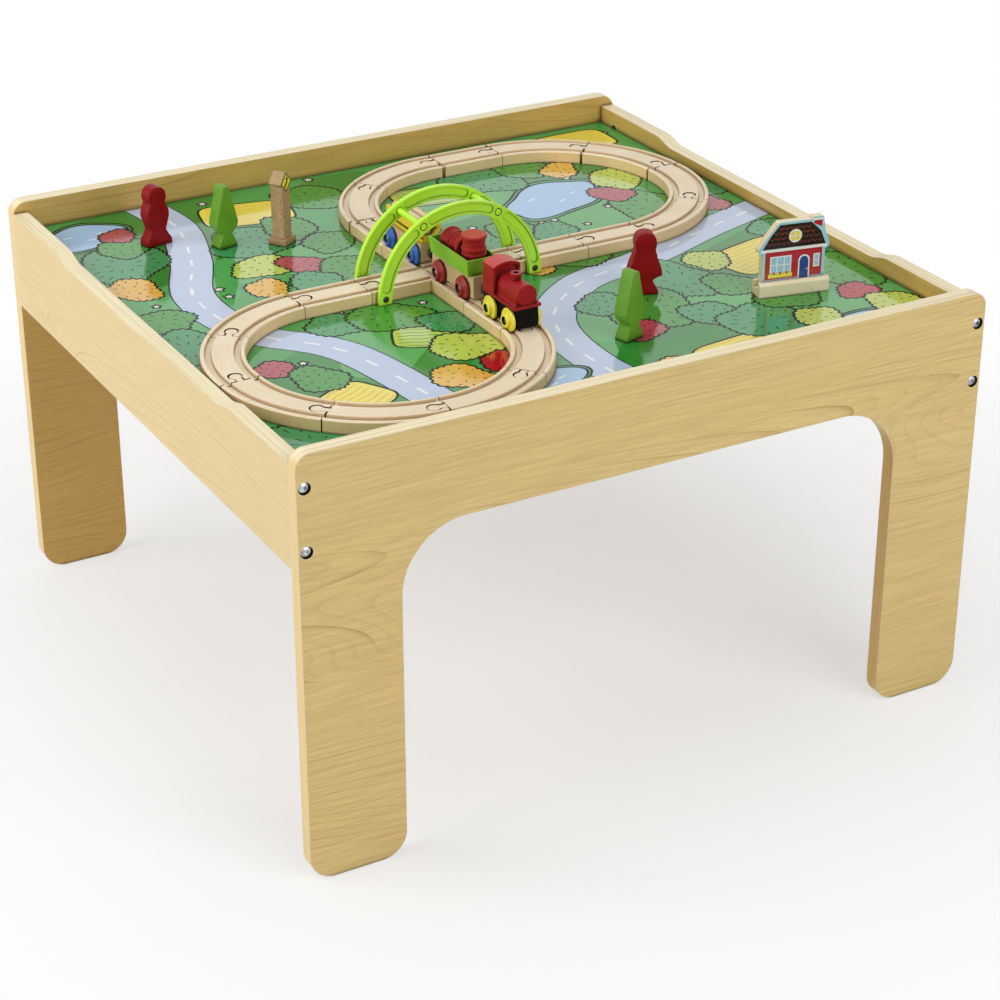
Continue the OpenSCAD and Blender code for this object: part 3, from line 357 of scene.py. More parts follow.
class SharedEffects:
    """The node groups that several finishes place, each built once."""

    NUMBER = "NodeSocketFloat"
    VECTOR = "NodeSocketVector"
    GRAIN = GrainFigure()
    WOBBLE_SCALE = 160.0
    WOBBLE_RINGS = 2.4
    RING_POWER = 2.0
    BEVEL_SAMPLES = 6
    WEAR_AND_HIGHLIGHT_SPAN = (1.0, 0.82)
    BLOTCH_DETAIL = 3.0
    BLOTCH_SPAN = (0.3, 0.7)
    GRIT_SCALE = 60.0
    SHADE_SAMPLES = 8
    SHADE_SPAN = (0.95, 0.4)

    def __init__(self) -> None:
        """Build every group."""
        self.wood_grain = self._wood_grain()
        self.end_rings = self._end_rings()
        self.edge_wear = self._edge_wear_and_highlight()
        self.handling = self._handling()
        self.corner_shade = self._corner_shade()

    def _start(
        self, name: str, inputs: dict[str, str], outputs: dict[str, str]
    ) -> tuple[Graph, bpy.types.Node, bpy.types.Node]:
        """Make an empty group with named sockets.

        Args:
            name: The group's name.
            inputs: Socket types by input name.
            outputs: Socket types by output name.

        Returns:
            The group's graph, its input node and its output node.
        """
        tree = bpy.data.node_groups.new(name, "ShaderNodeTree")
        for sockets, way in ((inputs, "INPUT"), (outputs, "OUTPUT")):
            for socket, kind in sockets.items():
                tree.interface.new_socket(name=socket, in_out=way, socket_type=kind)
        return Graph(tree), tree.nodes.new("NodeGroupInput"), tree.nodes.new("NodeGroupOutput")

    def _wood_grain(self) -> bpy.types.NodeTree:
        """Grain along X: coarse and fine growth lines, fibres and short dark flecks.

        Returns:
            The group's node tree.
        """
        graph, given, made = self._start(
            "wood_grain",
            {"Vector": self.VECTOR, "Scale": self.NUMBER},
            {"Figure": self.NUMBER, "Fibre": self.NUMBER, "Fleck": self.NUMBER},
        )
        sizes = self.GRAIN
        place = graph.scaled(given.outputs["Vector"], given.outputs["Scale"])
        slow = graph.waves(place, sizes.wander, sizes.wander_detail, sizes.wander_rough)
        across = graph.vector("DOT_PRODUCT", place, sizes.rows)
        closer = graph.math("MULTIPLY", across, sizes.fine_rows)
        coarse = graph.math("FRACT", graph.math("MULTIPLY_ADD", slow, sizes.coarse_sway, across))
        fine = graph.math("FRACT", graph.math("MULTIPLY_ADD", slow, sizes.fine_sway, closer))
        patchy = graph.spread(graph.waves(place, sizes.patches), *sizes.patch_span)
        broken = graph.math("MULTIPLY", graph.math("POWER", coarse, sizes.coarse_power), patchy)
        line = graph.math("MULTIPLY", broken, sizes.coarse_share)
        hair = graph.math("POWER", fine, sizes.fine_power)
        fibre = graph.waves(place, sizes.fibres, sizes.fibre_detail, sizes.fibre_rough)
        fleck = graph.waves(place, sizes.flecks, sizes.fleck_detail)
        graph.put(made.inputs["Figure"], graph.math("MULTIPLY_ADD", hair, sizes.fine_share, line))
        graph.put(made.inputs["Fibre"], graph.spread(fibre, *sizes.fibre_span))
        graph.put(made.inputs["Fleck"], graph.spread(fleck, *sizes.fleck_span))
        return graph.tree

    def _end_rings(self) -> bpy.types.NodeTree:
        """Growth rings on a cut end, around a pith in the plane of the second and third coordinate.

        Returns:
            The group's node tree.
        """
        graph, given, made = self._start(
            "end_rings",
            {"Vector": self.VECTOR, "Pith": self.VECTOR, "Spacing": self.NUMBER},
            {"Rings": self.NUMBER},
        )
        from_pith = graph.vector("SUBTRACT", given.outputs["Vector"], given.outputs["Pith"])
        flat = graph.vector("MULTIPLY", from_pith, (0.0, 1.0, 1.0))
        wobble = graph.math("MULTIPLY", graph.noise(flat, self.WOBBLE_SCALE), self.WOBBLE_RINGS)
        count = graph.math("DIVIDE", graph.vector("LENGTH", flat), given.outputs["Spacing"])
        ring_share = graph.math("FRACT", graph.math("ADD", count, wobble))
        graph.put(made.inputs["Rings"], graph.math("POWER", ring_share, self.RING_POWER))
        return graph.tree

    def _edge_wear_and_highlight(self) -> bpy.types.NodeTree:
        """A mask along rounded edges, for worn paint and for painted highlights, and the normal that rounds
        them.

        Returns:
            The group's node tree.
        """
        graph, given, made = self._start(
            "edge_wear", {"Radius": self.NUMBER}, {"Mask": self.NUMBER, "Normal": self.VECTOR}
        )
        rounded = graph.add("Bevel", samples=self.BEVEL_SAMPLES)
        graph.put(rounded.inputs["Radius"], given.outputs["Radius"])
        flat = graph.add("NewGeometry")
        match = graph.vector("DOT_PRODUCT", rounded.outputs["Normal"], flat.outputs["Normal"])
        graph.put(made.inputs["Mask"], graph.spread(match, *self.WEAR_AND_HIGHLIGHT_SPAN))
        graph.put(made.inputs["Normal"], rounded.outputs["Normal"])
        return graph.tree

    def _handling(self) -> bpy.types.NodeTree:
        """Slow blotches and fine grit that any handled surface has.

        Returns:
            The group's node tree.
        """
        graph, given, made = self._start(
            "handling",
            {"Vector": self.VECTOR, "Scale": self.NUMBER},
            {"Blotch": self.NUMBER, "Grit": self.NUMBER},
        )
        place = graph.scaled(given.outputs["Vector"], given.outputs["Scale"])
        blotch = graph.noise(place, 1.0, self.BLOTCH_DETAIL)
        graph.put(made.inputs["Blotch"], graph.spread(blotch, *self.BLOTCH_SPAN))
        graph.put(made.inputs["Grit"], graph.noise(place, self.GRIT_SCALE))
        return graph.tree

    def _corner_shade(self) -> bpy.types.NodeTree:
        """How far a point lies in a corner or against a neighbour, as the mask of painted shade.

        Returns:
            The group's node tree.
        """
        graph, given, made = self._start("corner_shade", {"Reach": self.NUMBER}, {"Mask": self.NUMBER})
        near = graph.add("AmbientOcclusion", samples=self.SHADE_SAMPLES)
        graph.put(near.inputs["Distance"], given.outputs["Reach"])
        graph.put(made.inputs["Mask"], graph.spread(near.outputs["AO"], *self.SHADE_SPAN))
        return graph.tree


EFFECTS = SharedEffects()


@dataclass(frozen=True)
class Finish:
    """A named finish that makes its material once."""

    name: str
    # Painted shade: the tone, reach and share of the darkening in corners and against neighbours.
    corner_shade_tone: ClassVar[Tone] = Tone(92, 78, 62)
    corner_shade_reach: ClassVar[float] = 6 * MM
    corner_shade_share: ClassVar[float] = 0.8
    mask_span: ClassVar[Span] = (0.0, 1.0)
    smoother: ClassVar[float] = 0.06
    rougher: ClassVar[float] = 0.08

    def material(self) -> bpy.types.Material:
        """The finish as a material, made at its first use.

        Returns:
            The material.
        """
        if self.name in bpy.data.materials:
            return bpy.data.materials[self.name]
        made = bpy.data.materials.new(self.name)
        made.use_nodes = True
        made.node_tree.nodes.clear()
        graph = Graph(made.node_tree)
        shader = graph.add("BsdfPrincipled")
        graph.put(graph.add("OutputMaterial").inputs["Surface"], shader.outputs["BSDF"])
        self.dress(graph, shader)
        return made

    def dress(self, graph: Graph, shader: bpy.types.Node) -> None:
        """Feed the shader of a new material."""
        raise NotImplementedError

    def shade_corners(self, graph: Graph, shader: bpy.types.Node, tone: Socket) -> None:
        """Feed the shader a colour with painted shade: darker in corners and against neighbours, where little
        light reaches.

        Args:
            graph: The material's graph.
            shader: Its shader.
            tone: The colour.
        """
        corner = graph.group(EFFECTS.corner_shade, Reach=self.corner_shade_reach)
        share = graph.math("MULTIPLY", corner.outputs["Mask"], self.corner_shade_share)
        graph.put(shader.inputs["Base Color"], graph.mix(share, tone, self.corner_shade_tone.linear(), "MULTIPLY"))

    def roughen(self, graph: Graph, shader: bpy.types.Node, mask: Socket, rough: float) -> None:
        """Feed the shader a roughness that a mask moves a little below and above a middle one."""
        low, high = rough - self.smoother, rough + self.rougher
        graph.put(shader.inputs["Roughness"], graph.spread(mask, *self.mask_span, low, high))


@dataclass(frozen=True)
class PanelFoil(Finish):
    """Wood-grained foil on a panel's faces, with finely lined strips along its edges that carry painted
    light.
    """

    grain: GrainAxis
    thin: GrainAxis
    face: Tone = Tone(226, 199, 130)
    line: Tone = Tone(168, 122, 58)
    pale: Tone = Tone(228, 208, 150)
    # Painted light: edges that face up take this pale tone, upright ones the darker side tone.
    edge: Tone = Tone(253, 241, 203)
    edge_side_shaded: Tone = Tone(230, 202, 142)
    edge_line: Tone = Tone(210, 182, 126)
    arris_highlight: Tone = Tone(250, 246, 232)
    rough: float = 0.45
    smoother: ClassVar[float] = 0.05
    rougher: ClassVar[float] = 0.07
    relief: ClassVar[float] = 0.05 * MM
    arris_radius: ClassVar[float] = 0.7 * MM
    arris_highlight_share: ClassVar[float] = 0.55
    blotches: ClassVar[Triple] = (0.3, 1.6, 1.6)
    blotch_scale: ClassVar[float] = 9.0
    blotch_share: ClassVar[float] = 0.3
    figure_share: ClassVar[float] = 0.7
    fibre_share: ClassVar[float] = 0.26
    fleck_share: ClassVar[float] = 0.12
    edge_rows: ClassVar[float] = 620.0
    edge_run: ClassVar[float] = 5.0
    edge_span: ClassVar[Span] = (0.35, 0.75)
    edge_share: ClassVar[float] = 0.6
    lit_upward_span: ClassVar[Span] = (0.3, 0.9)
    face_span: ClassVar[Span] = (0.4, 0.8)

    def dress(self, graph: Graph, shader: bpy.types.Node) -> None:
        """Lay grain on the faces and fine lines along the edges.

        Args:
            graph: The material's graph.
            shader: Its shader.
        """
        place = graph.add("TexCoord")
        along = graph.reordered(place.outputs["Object"], self.grain)
        slow = graph.vector("MULTIPLY", along, self.blotches)
        grain = graph.group(EFFECTS.wood_grain, Vector=along, Scale=1.0)
        wear_and_highlight = graph.group(EFFECTS.edge_wear, Radius=self.arris_radius)
        touch = graph.group(EFFECTS.handling, Vector=slow, Scale=self.blotch_scale)
        tone = graph.tint(self.face.linear(), self.pale, touch.outputs["Blotch"], self.blotch_share)
        tone = graph.tint(tone, self.line, grain.outputs["Figure"], self.figure_share)
        tone = graph.tint(tone, self.line, grain.outputs["Fibre"], self.fibre_share)
        tone = graph.tint(tone, self.line, grain.outputs["Fleck"], self.fleck_share)
        on_face = graph.spread(graph.along(place.outputs["Normal"], self.thin), *self.face_span)
        tone = graph.mix(on_face, self.strip(graph, place), tone)
        # Painted highlight: a near-white line along the rounded edges.
        tone = graph.tint(tone, self.arris_highlight, wear_and_highlight.outputs["Mask"], self.arris_highlight_share)
        self.shade_corners(graph, shader, tone)
        self.roughen(graph, shader, touch.outputs["Blotch"], self.rough)
        normal = graph.bump(grain.outputs["Fibre"], self.relief, wear_and_highlight.outputs["Normal"])
        graph.put(shader.inputs["Normal"], normal)

    def strip(self, graph: Graph, place: bpy.types.Node) -> Socket:
        """The colour of the edges, with lines along them and painted light: paler where they face up, darker
        on their upright sides.

        Args:
            graph: The material's graph.
            place: Its texture coordinates.

        Returns:
            The colour.
        """
        counts = tuple(self.edge_rows if axis == self.thin.value[0] else self.edge_run for axis in range(3))
        lines = graph.waves(place.outputs["Object"], counts)
        rows = graph.spread(lines, *self.edge_span, 0.0, self.edge_share)
        lit_upward = graph.spread(graph.along(place.outputs["Normal"], GrainAxis.Z), *self.lit_upward_span)
        tone = graph.mix(lit_upward, self.edge_side_shaded.linear(), self.edge.linear())
        return graph.mix(rows, tone, self.edge_line.linear())


@dataclass(frozen=True)
class SolidWood(Finish):
    """Bare sanded wood whose grain follows each piece's own turn."""

    pale: Tone
    dark: Tone
    end: Tone
    grain: GrainAxis = GrainAxis.X
    fleck: float = 0.5
    figure: float = 0.4
    rough: float = 0.5
    speck: float = 0.0
    pith: Triple = (0.0, 0.0, 0.37)
    corner_shade_reach: ClassVar[float] = 2.5 * MM
    corner_shade_share: ClassVar[float] = 0.65
    smoother: ClassVar[float] = 0.05
    relief: ClassVar[float] = 0.06 * MM
    arris_radius: ClassVar[float] = 0.6 * MM
    arris_highlight_share: ClassVar[float] = 0.25
    ring_spacing: ClassVar[float] = 1.6 * MM
    grain_scale: ClassVar[float] = 2.6
    fibre_share: ClassVar[float] = 0.2
    speck_scale: ClassVar[float] = 900.0
    speck_detail: ClassVar[float] = 1.0
    speck_span: ClassVar[Span] = (0.42, 0.66)
    cut_span: ClassVar[Span] = (0.6, 0.9)
    blotch_scale: ClassVar[float] = 22.0
    blotch_share: ClassVar[float] = 0.14

    def dress(self, graph: Graph, shader: bpy.types.Node) -> None:
        """Turn the grain with the piece, and show rings where it is cut across.

        Args:
            graph: The material's graph.
            shader: Its shader.
        """
        place = graph.add("TexCoord")
        turn = graph.add("Attribute", attribute_type="OBJECT", attribute_name="grain_turn")
        shift = graph.add("Attribute", attribute_type="OBJECT", attribute_name="grain_shift")
        rotated = graph.add("VectorRotate", rotation_type="Z_AXIS")
        faced = graph.add("VectorRotate", rotation_type="Z_AXIS")
        for node, vector in ((rotated, place.outputs["Object"]), (faced, place.outputs["Normal"])):
            graph.put(node.inputs["Vector"], vector)
            graph.put(node.inputs["Angle"], turn.outputs["Fac"])
        along = graph.reordered(rotated.outputs[0], self.grain)
        moved = graph.vector("ADD", along, shift.outputs["Vector"])
        grain = graph.group(EFFECTS.wood_grain, Vector=moved, Scale=self.grain_scale)
        rings = graph.group(EFFECTS.end_rings, Vector=along, Pith=self.pith, Spacing=self.ring_spacing)
        wear_and_highlight = graph.group(EFFECTS.edge_wear, Radius=self.arris_radius)
        touch = graph.group(EFFECTS.handling, Vector=moved, Scale=self.blotch_scale)
        tone = graph.tint(self.pale.linear(), self.dark, grain.outputs["Figure"], self.figure)
        tone = graph.tint(tone, self.dark, grain.outputs["Fibre"], self.fibre_share)
        tone = graph.tint(tone, self.dark, grain.outputs["Fleck"], self.fleck)
        if self.speck:
            specks = graph.noise(moved, self.speck_scale, self.speck_detail)
            tone = graph.tint(tone, self.dark, graph.spread(specks, *self.speck_span), self.speck)
        cut = graph.mix(rings.outputs["Rings"], self.end.linear(), self.dark.linear())
        tone = graph.mix(graph.spread(graph.along(faced.outputs[0], self.grain), *self.cut_span), tone, cut)
        tone = graph.tint(tone, self.dark, touch.outputs["Blotch"], self.blotch_share)
        # Painted highlight: the rounded edges lighten toward the pale tone.
        tone = graph.tint(tone, self.pale, wear_and_highlight.outputs["Mask"], self.arris_highlight_share)
        self.shade_corners(graph, shader, tone)
        self.roughen(graph, shader, touch.outputs["Blotch"], self.rough)
        normal = graph.bump(grain.outputs["Fibre"], self.relief, wear_and_highlight.outputs["Normal"])
        graph.put(shader.inputs["Normal"], normal)


@dataclass(frozen=True)
class PaintedWood(Finish):
    """A brushed coat on wood: grain shows faintly, and edges are lighter, partly worn and partly a painted
    highlight.
    """

    coat: Tone
    pale_coat: Tone
    grain: GrainAxis = GrainAxis.Z
    rough: float = 0.38
    wear_and_highlight: float = 0.5
    soft: float = 0.9 * MM
    gloss: float = 0.22
    relief: ClassVar[float] = 0.08 * MM
    grain_scale: ClassVar[float] = 3.0
    fibre_share: ClassVar[float] = 0.14
    blotch_scale: ClassVar[float] = 45.0
    blotch_share: ClassVar[float] = 0.14
    edge_patch_span: ClassVar[Span] = (0.3, 0.6)
    edge_patch_shares: ClassVar[Span] = (0.5, 1.0)

    def dress(self, graph: Graph, shader: bpy.types.Node) -> None:
        """Feed the coat's colour, its gloss and the grain under it.

        Args:
            graph: The material's graph.
            shader: Its shader.
        """
        place = graph.add("TexCoord")
        along = graph.reordered(place.outputs["Object"], self.grain)
        grain = graph.group(EFFECTS.wood_grain, Vector=along, Scale=self.grain_scale)
        edges = graph.group(EFFECTS.edge_wear, Radius=self.soft)
        touch = graph.group(EFFECTS.handling, Vector=along, Scale=self.blotch_scale)
        tone = graph.tint(self.coat.linear(), self.pale_coat, grain.outputs["Fibre"], self.fibre_share)
        tone = graph.tint(tone, self.pale_coat, touch.outputs["Blotch"], self.blotch_share)
        # Edges lighten toward the paler coat in patches: partly worn paint, partly a painted highlight.
        patchy = graph.spread(touch.outputs["Grit"], *self.edge_patch_span, *self.edge_patch_shares)
        worn_and_lit_edges = graph.math("MULTIPLY", edges.outputs["Mask"], patchy)
        tone = graph.tint(tone, self.pale_coat, worn_and_lit_edges, self.wear_and_highlight)
        self.shade_corners(graph, shader, tone)
        self.roughen(graph, shader, touch.outputs["Blotch"], self.rough)
        graph.put(shader.inputs["Specular IOR Level"], self.gloss)
        normal = graph.bump(grain.outputs["Fibre"], self.relief, edges.outputs["Normal"])
        graph.put(shader.inputs["Normal"], normal)


@dataclass(frozen=True)
class MouldedPlastic(Finish):
    """Dyed moulded plastic with a faint texture from its mould."""

    dye: Tone
    light: Tone
    rough: float = 0.34
    soft: float = 0.6 * MM
    corner_shade_reach: ClassVar[float] = 3 * MM
    mask_span: ClassVar[Span] = (0.2, 0.8)
    smoother: ClassVar[float] = 0.05
    rougher: ClassVar[float] = 0.07
    relief: ClassVar[float] = 0.03 * MM
    blotch_scale: ClassVar[float] = 40.0
    blotch_share: ClassVar[float] = 0.12
    edge_share: ClassVar[float] = 0.45

    def dress(self, graph: Graph, shader: bpy.types.Node) -> None:
        """Feed the dye, its paler edges as a painted highlight, and the mould's fine texture.

        Args:
            graph: The material's graph.
            shader: Its shader.
        """
        place = graph.add("TexCoord")
        edges = graph.group(EFFECTS.edge_wear, Radius=self.soft)
        touch = graph.group(EFFECTS.handling, Vector=place.outputs["Object"], Scale=self.blotch_scale)
        tone = graph.tint(self.dye.linear(), self.light, touch.outputs["Blotch"], self.blotch_share)
        # Painted highlight: edges lighten toward the lighter dye.
        tone = graph.tint(tone, self.light, edges.outputs["Mask"], self.edge_share)
        self.shade_corners(graph, shader, tone)
        self.roughen(graph, shader, touch.outputs["Grit"], self.rough)
        normal = graph.bump(touch.outputs["Grit"], self.relief, edges.outputs["Normal"])
        graph.put(shader.inputs["Normal"], normal)


@dataclass(frozen=True)
class Steel(Finish):
    """Plated steel, slightly uneven in tone and gloss."""

    plate: Tone = Tone(205, 206, 208)
    shade: Tone = Tone(150, 150, 152)
    rough: float = 0.24
    mask_span: ClassVar[Span] = (0.2, 0.8)
    relief: ClassVar[float] = 0.02 * MM
    arris_radius: ClassVar[float] = 0.3 * MM
    blotch_scale: ClassVar[float] = 120.0

    def dress(self, graph: Graph, shader: bpy.types.Node) -> None:
        """Feed the plating, its gloss and its fine grit.

        Args:
            graph: The material's graph.
            shader: Its shader.
        """
        place = graph.add("TexCoord")
        edges = graph.group(EFFECTS.edge_wear, Radius=self.arris_radius)
        touch = graph.group(EFFECTS.handling, Vector=place.outputs["Object"], Scale=self.blotch_scale)
        tone = graph.mix(touch.outputs["Blotch"], self.plate.linear(), self.shade.linear())
        graph.put(shader.inputs["Base Color"], tone)
        graph.put(shader.inputs["Metallic"], 1.0)
        self.roughen(graph, shader, touch.outputs["Grit"], self.rough)
        normal = graph.bump(touch.outputs["Grit"], self.relief, edges.outputs["Normal"])
        graph.put(shader.inputs["Normal"], normal)


@dataclass(frozen=True)
class PrintedInk(Finish):
    """One ink of a print under a clear gloss."""

    ink: Tone
    deep: Tone
    rough: float = 0.09
    gloss: float = 0.5
    smoother: ClassVar[float] = 0.02
    rougher: ClassVar[float] = 0.04
    blotch_scale: ClassVar[float] = 14.0
    blotch_share: ClassVar[float] = 0.18
    grit_span: ClassVar[Span] = (0.3, 0.7)
    grit_share: ClassVar[float] = 0.1

    def dress(self, graph: Graph, shader: bpy.types.Node) -> None:
        """Feed the ink, slightly uneven in the way of a print, and its gloss.

        Args:
            graph: The material's graph.
            shader: Its shader.
        """
        place = graph.add("TexCoord")
        touch = graph.group(EFFECTS.handling, Vector=place.outputs["Object"], Scale=self.blotch_scale)
        grit = graph.spread(touch.outputs["Grit"], *self.grit_span, 0.0, self.grit_share)
        tone = graph.tint(self.ink.linear(), self.deep, touch.outputs["Blotch"], self.blotch_share)
        self.shade_corners(graph, shader, graph.mix(grit, tone, self.deep.linear()))
        self.roughen(graph, shader, touch.outputs["Blotch"], self.rough)
        graph.put(shader.inputs["Specular IOR Level"], self.gloss)


class Ink(Enum):
    """The inks of the board, the house and the sign."""

    GRASS = PrintedInk("ink_grass", Tone(64, 160, 78), Tone(54, 148, 68))
    DEEP_GRASS = PrintedInk("ink_deep_grass", Tone(46, 138, 50), Tone(38, 124, 42))
    PALE_GRASS = PrintedInk("ink_pale_grass", Tone(86, 172, 92), Tone(76, 160, 82))
    HEDGE = PrintedInk("ink_hedge", Tone(62, 154, 92), Tone(50, 138, 78))
    LEAF = PrintedInk("ink_leaf", Tone(68, 154, 54), Tone(54, 138, 44))
    LIME = PrintedInk("ink_lime", Tone(196, 212, 92), Tone(180, 200, 74))
    STRAW = PrintedInk("ink_straw", Tone(242, 230, 84), Tone(232, 218, 66))
    AMBER = PrintedInk("ink_amber", Tone(236, 186, 78), Tone(224, 168, 58))
    ROSE = PrintedInk("ink_rose", Tone(184, 74, 84), Tone(168, 58, 66))
    BRICK = PrintedInk("ink_brick", Tone(188, 28, 38), Tone(168, 22, 30))
    WATER = PrintedInk("ink_water", Tone(168, 204, 236), Tone(150, 190, 228))
    ROAD = PrintedInk("ink_road", Tone(192, 207, 232), Tone(180, 196, 224))
    WHITE = PrintedInk("ink_white", Tone(246, 246, 244), Tone(236, 236, 234))
    LINE = PrintedInk("ink_line", Tone(16, 26, 18), Tone(10, 18, 12), rough=0.2, gloss=0.14)
    SLATE = PrintedInk("ink_slate", Tone(44, 34, 30), Tone(30, 24, 22))
    SKY = PrintedInk("ink_sky", Tone(164, 218, 232), Tone(148, 206, 222))
    NAVY = PrintedInk("ink_navy", Tone(48, 70, 150), Tone(36, 54, 128))
    SIGN_YELLOW = PrintedInk("ink_sign_yellow", Tone(252, 226, 52), Tone(244, 212, 40))
    BLACK = PrintedInk("ink_black", Tone(28, 26, 22), Tone(18, 17, 15))


@dataclass(frozen=True)
class Finishes:
    """The finishes of this object, by the pieces that carry them."""

    panel: PanelFoil = PanelFoil("panel_foil", grain=GrainAxis.X, thin=GrainAxis.Y)
    # Painted shade: darker copies of the foil for the inner faces of panels and rails.
    panel_inside_shaded: PanelFoil = replace(
        panel, name="panel_inside_foil",
        face=Tone(216, 177, 96), line=Tone(158, 118, 56), pale=Tone(222, 188, 112),
    )
    # Painted shade: a darker copy of the foil for the cut edges of the arches and legs.
    panel_cut_shaded: PanelFoil = replace(
        panel, name="panel_cut_foil", edge_side_shaded=Tone(212, 176, 108), edge_line=Tone(190, 152, 88)
    )
    # Painted sheen: the rails take a paler, greyer copy of the panel foil.
    rail_sheen: PanelFoil = PanelFoil(
        "rail_foil", grain=GrainAxis.Y, thin=GrainAxis.X,
        face=Tone(224, 200, 144), line=Tone(180, 148, 92), pale=Tone(232, 212, 164),
    )
    rail_inside_shaded: PanelFoil = replace(
        panel_inside_shaded, name="rail_inside_foil", grain=GrainAxis.Y, thin=GrainAxis.X
    )
    # Partly painted shade: the walls of the bolt holes, darker than bare board alone.
    hole: PaintedWood = PaintedWood(
        "drilled_board", Tone(60, 46, 32), Tone(96, 76, 54), GrainAxis.Y, rough=0.8, wear_and_highlight=0.2
    )
    strip: SolidWood = SolidWood("pine_strip", Tone(222, 196, 146), Tone(188, 152, 98), Tone(206, 172, 120))
    bolt: Steel = Steel("bolt_plate")
    nut: Steel = Steel("nut_zinc", Tone(186, 184, 176), Tone(140, 138, 132), rough=0.36)
    track: SolidWood = SolidWood(
        "track_beech", Tone(250, 234, 204), Tone(218, 186, 142), Tone(232, 208, 168)
    )
    track_side: SolidWood = SolidWood(
        "track_side", Tone(240, 210, 158), Tone(200, 158, 104), Tone(216, 180, 130)
    )
    groove_shade: SolidWood = SolidWood(
        "track_groove", Tone(232, 204, 162), Tone(196, 160, 114), Tone(206, 172, 128)
    )
    joint: SolidWood = SolidWood("track_joint", Tone(104, 78, 50), Tone(66, 48, 30), Tone(80, 58, 38))
    red: PaintedWood = PaintedWood(
        "loco_red", Tone(150, 12, 18), Tone(186, 48, 50), GrainAxis.Y, rough=0.32
    )
    cab_roof_highlight: PaintedWood = PaintedWood(
        "cab_roof_red", Tone(196, 66, 66), Tone(222, 120, 114), GrainAxis.Y, rough=0.36
    )
    black: PaintedWood = PaintedWood(
        "chassis_black", Tone(4, 4, 2), Tone(24, 22, 16), GrainAxis.Y, rough=0.5, wear_and_highlight=0.4, gloss=0.1
    )
    wagon: SolidWood = SolidWood(
        "wagon_beech", Tone(228, 200, 150), Tone(170, 130, 80), Tone(248, 222, 178), GrainAxis.Y,
        fleck=0.8, figure=0.65, speck=0.5,
    )
    tray: PaintedWood = PaintedWood(
        "tray_green", Tone(124, 186, 34), Tone(182, 224, 100), GrainAxis.Y, rough=0.36
    )
    barrel: PaintedWood = PaintedWood("barrel_red", Tone(158, 20, 20), Tone(188, 60, 52), rough=0.42)
    barrel_end_highlight: PaintedWood = PaintedWood(
        "barrel_end_red", Tone(186, 62, 46), Tone(210, 104, 84), rough=0.45
    )
    cradle: PaintedWood = PaintedWood(
        "cradle_yellow", Tone(238, 206, 50), Tone(246, 226, 110), GrainAxis.Y
    )
    log: SolidWood = SolidWood(
        "turned_log", Tone(236, 214, 170), Tone(190, 150, 96), Tone(206, 168, 112), GrainAxis.Y
    )
    yellow: MouldedPlastic = MouldedPlastic("wheel_yellow", Tone(240, 224, 50), Tone(248, 238, 120))
    wheel_red: MouldedPlastic = MouldedPlastic("wheel_red", Tone(158, 30, 36), Tone(196, 70, 70))
    blue: MouldedPlastic = MouldedPlastic("wheel_blue", Tone(40, 96, 190), Tone(96, 146, 220))
    hollow_shade: MouldedPlastic = MouldedPlastic(
        "wheel_hollow", Tone(34, 30, 24), Tone(58, 52, 42), rough=0.55
    )
    cup: MouldedPlastic = MouldedPlastic("cup_black", Tone(26, 26, 28), Tone(64, 64, 66))
    magnet: Steel = Steel("magnet_plate", Tone(190, 192, 196), Tone(140, 142, 146), rough=0.2)
    lime: MouldedPlastic = MouldedPlastic("bridge_lime", Tone(194, 250, 54), Tone(220, 252, 124))
    field_edge_shade: MouldedPlastic = MouldedPlastic(
        "bridge_field_edge", Tone(116, 172, 28), Tone(140, 194, 48)
    )
    ring: MouldedPlastic = MouldedPlastic("ring_shadow", Tone(44, 66, 18), Tone(60, 88, 26), rough=0.5)
    figure: PaintedWood = PaintedWood("figure_red", Tone(136, 8, 16), Tone(172, 32, 38), gloss=0.14)
    tree: PaintedWood = PaintedWood("tree_green", Tone(98, 152, 38), Tone(142, 190, 72))
    sign: SolidWood = SolidWood(
        "speckled_post", Tone(204, 170, 122), Tone(104, 74, 44), Tone(190, 156, 110), GrainAxis.Z,
        fleck=0.7, figure=0.5, speck=0.6,
    )
    base: SolidWood = SolidWood("base_beech", Tone(248, 236, 206), Tone(220, 194, 148), Tone(232, 210, 168))


FINISHES = Finishes()


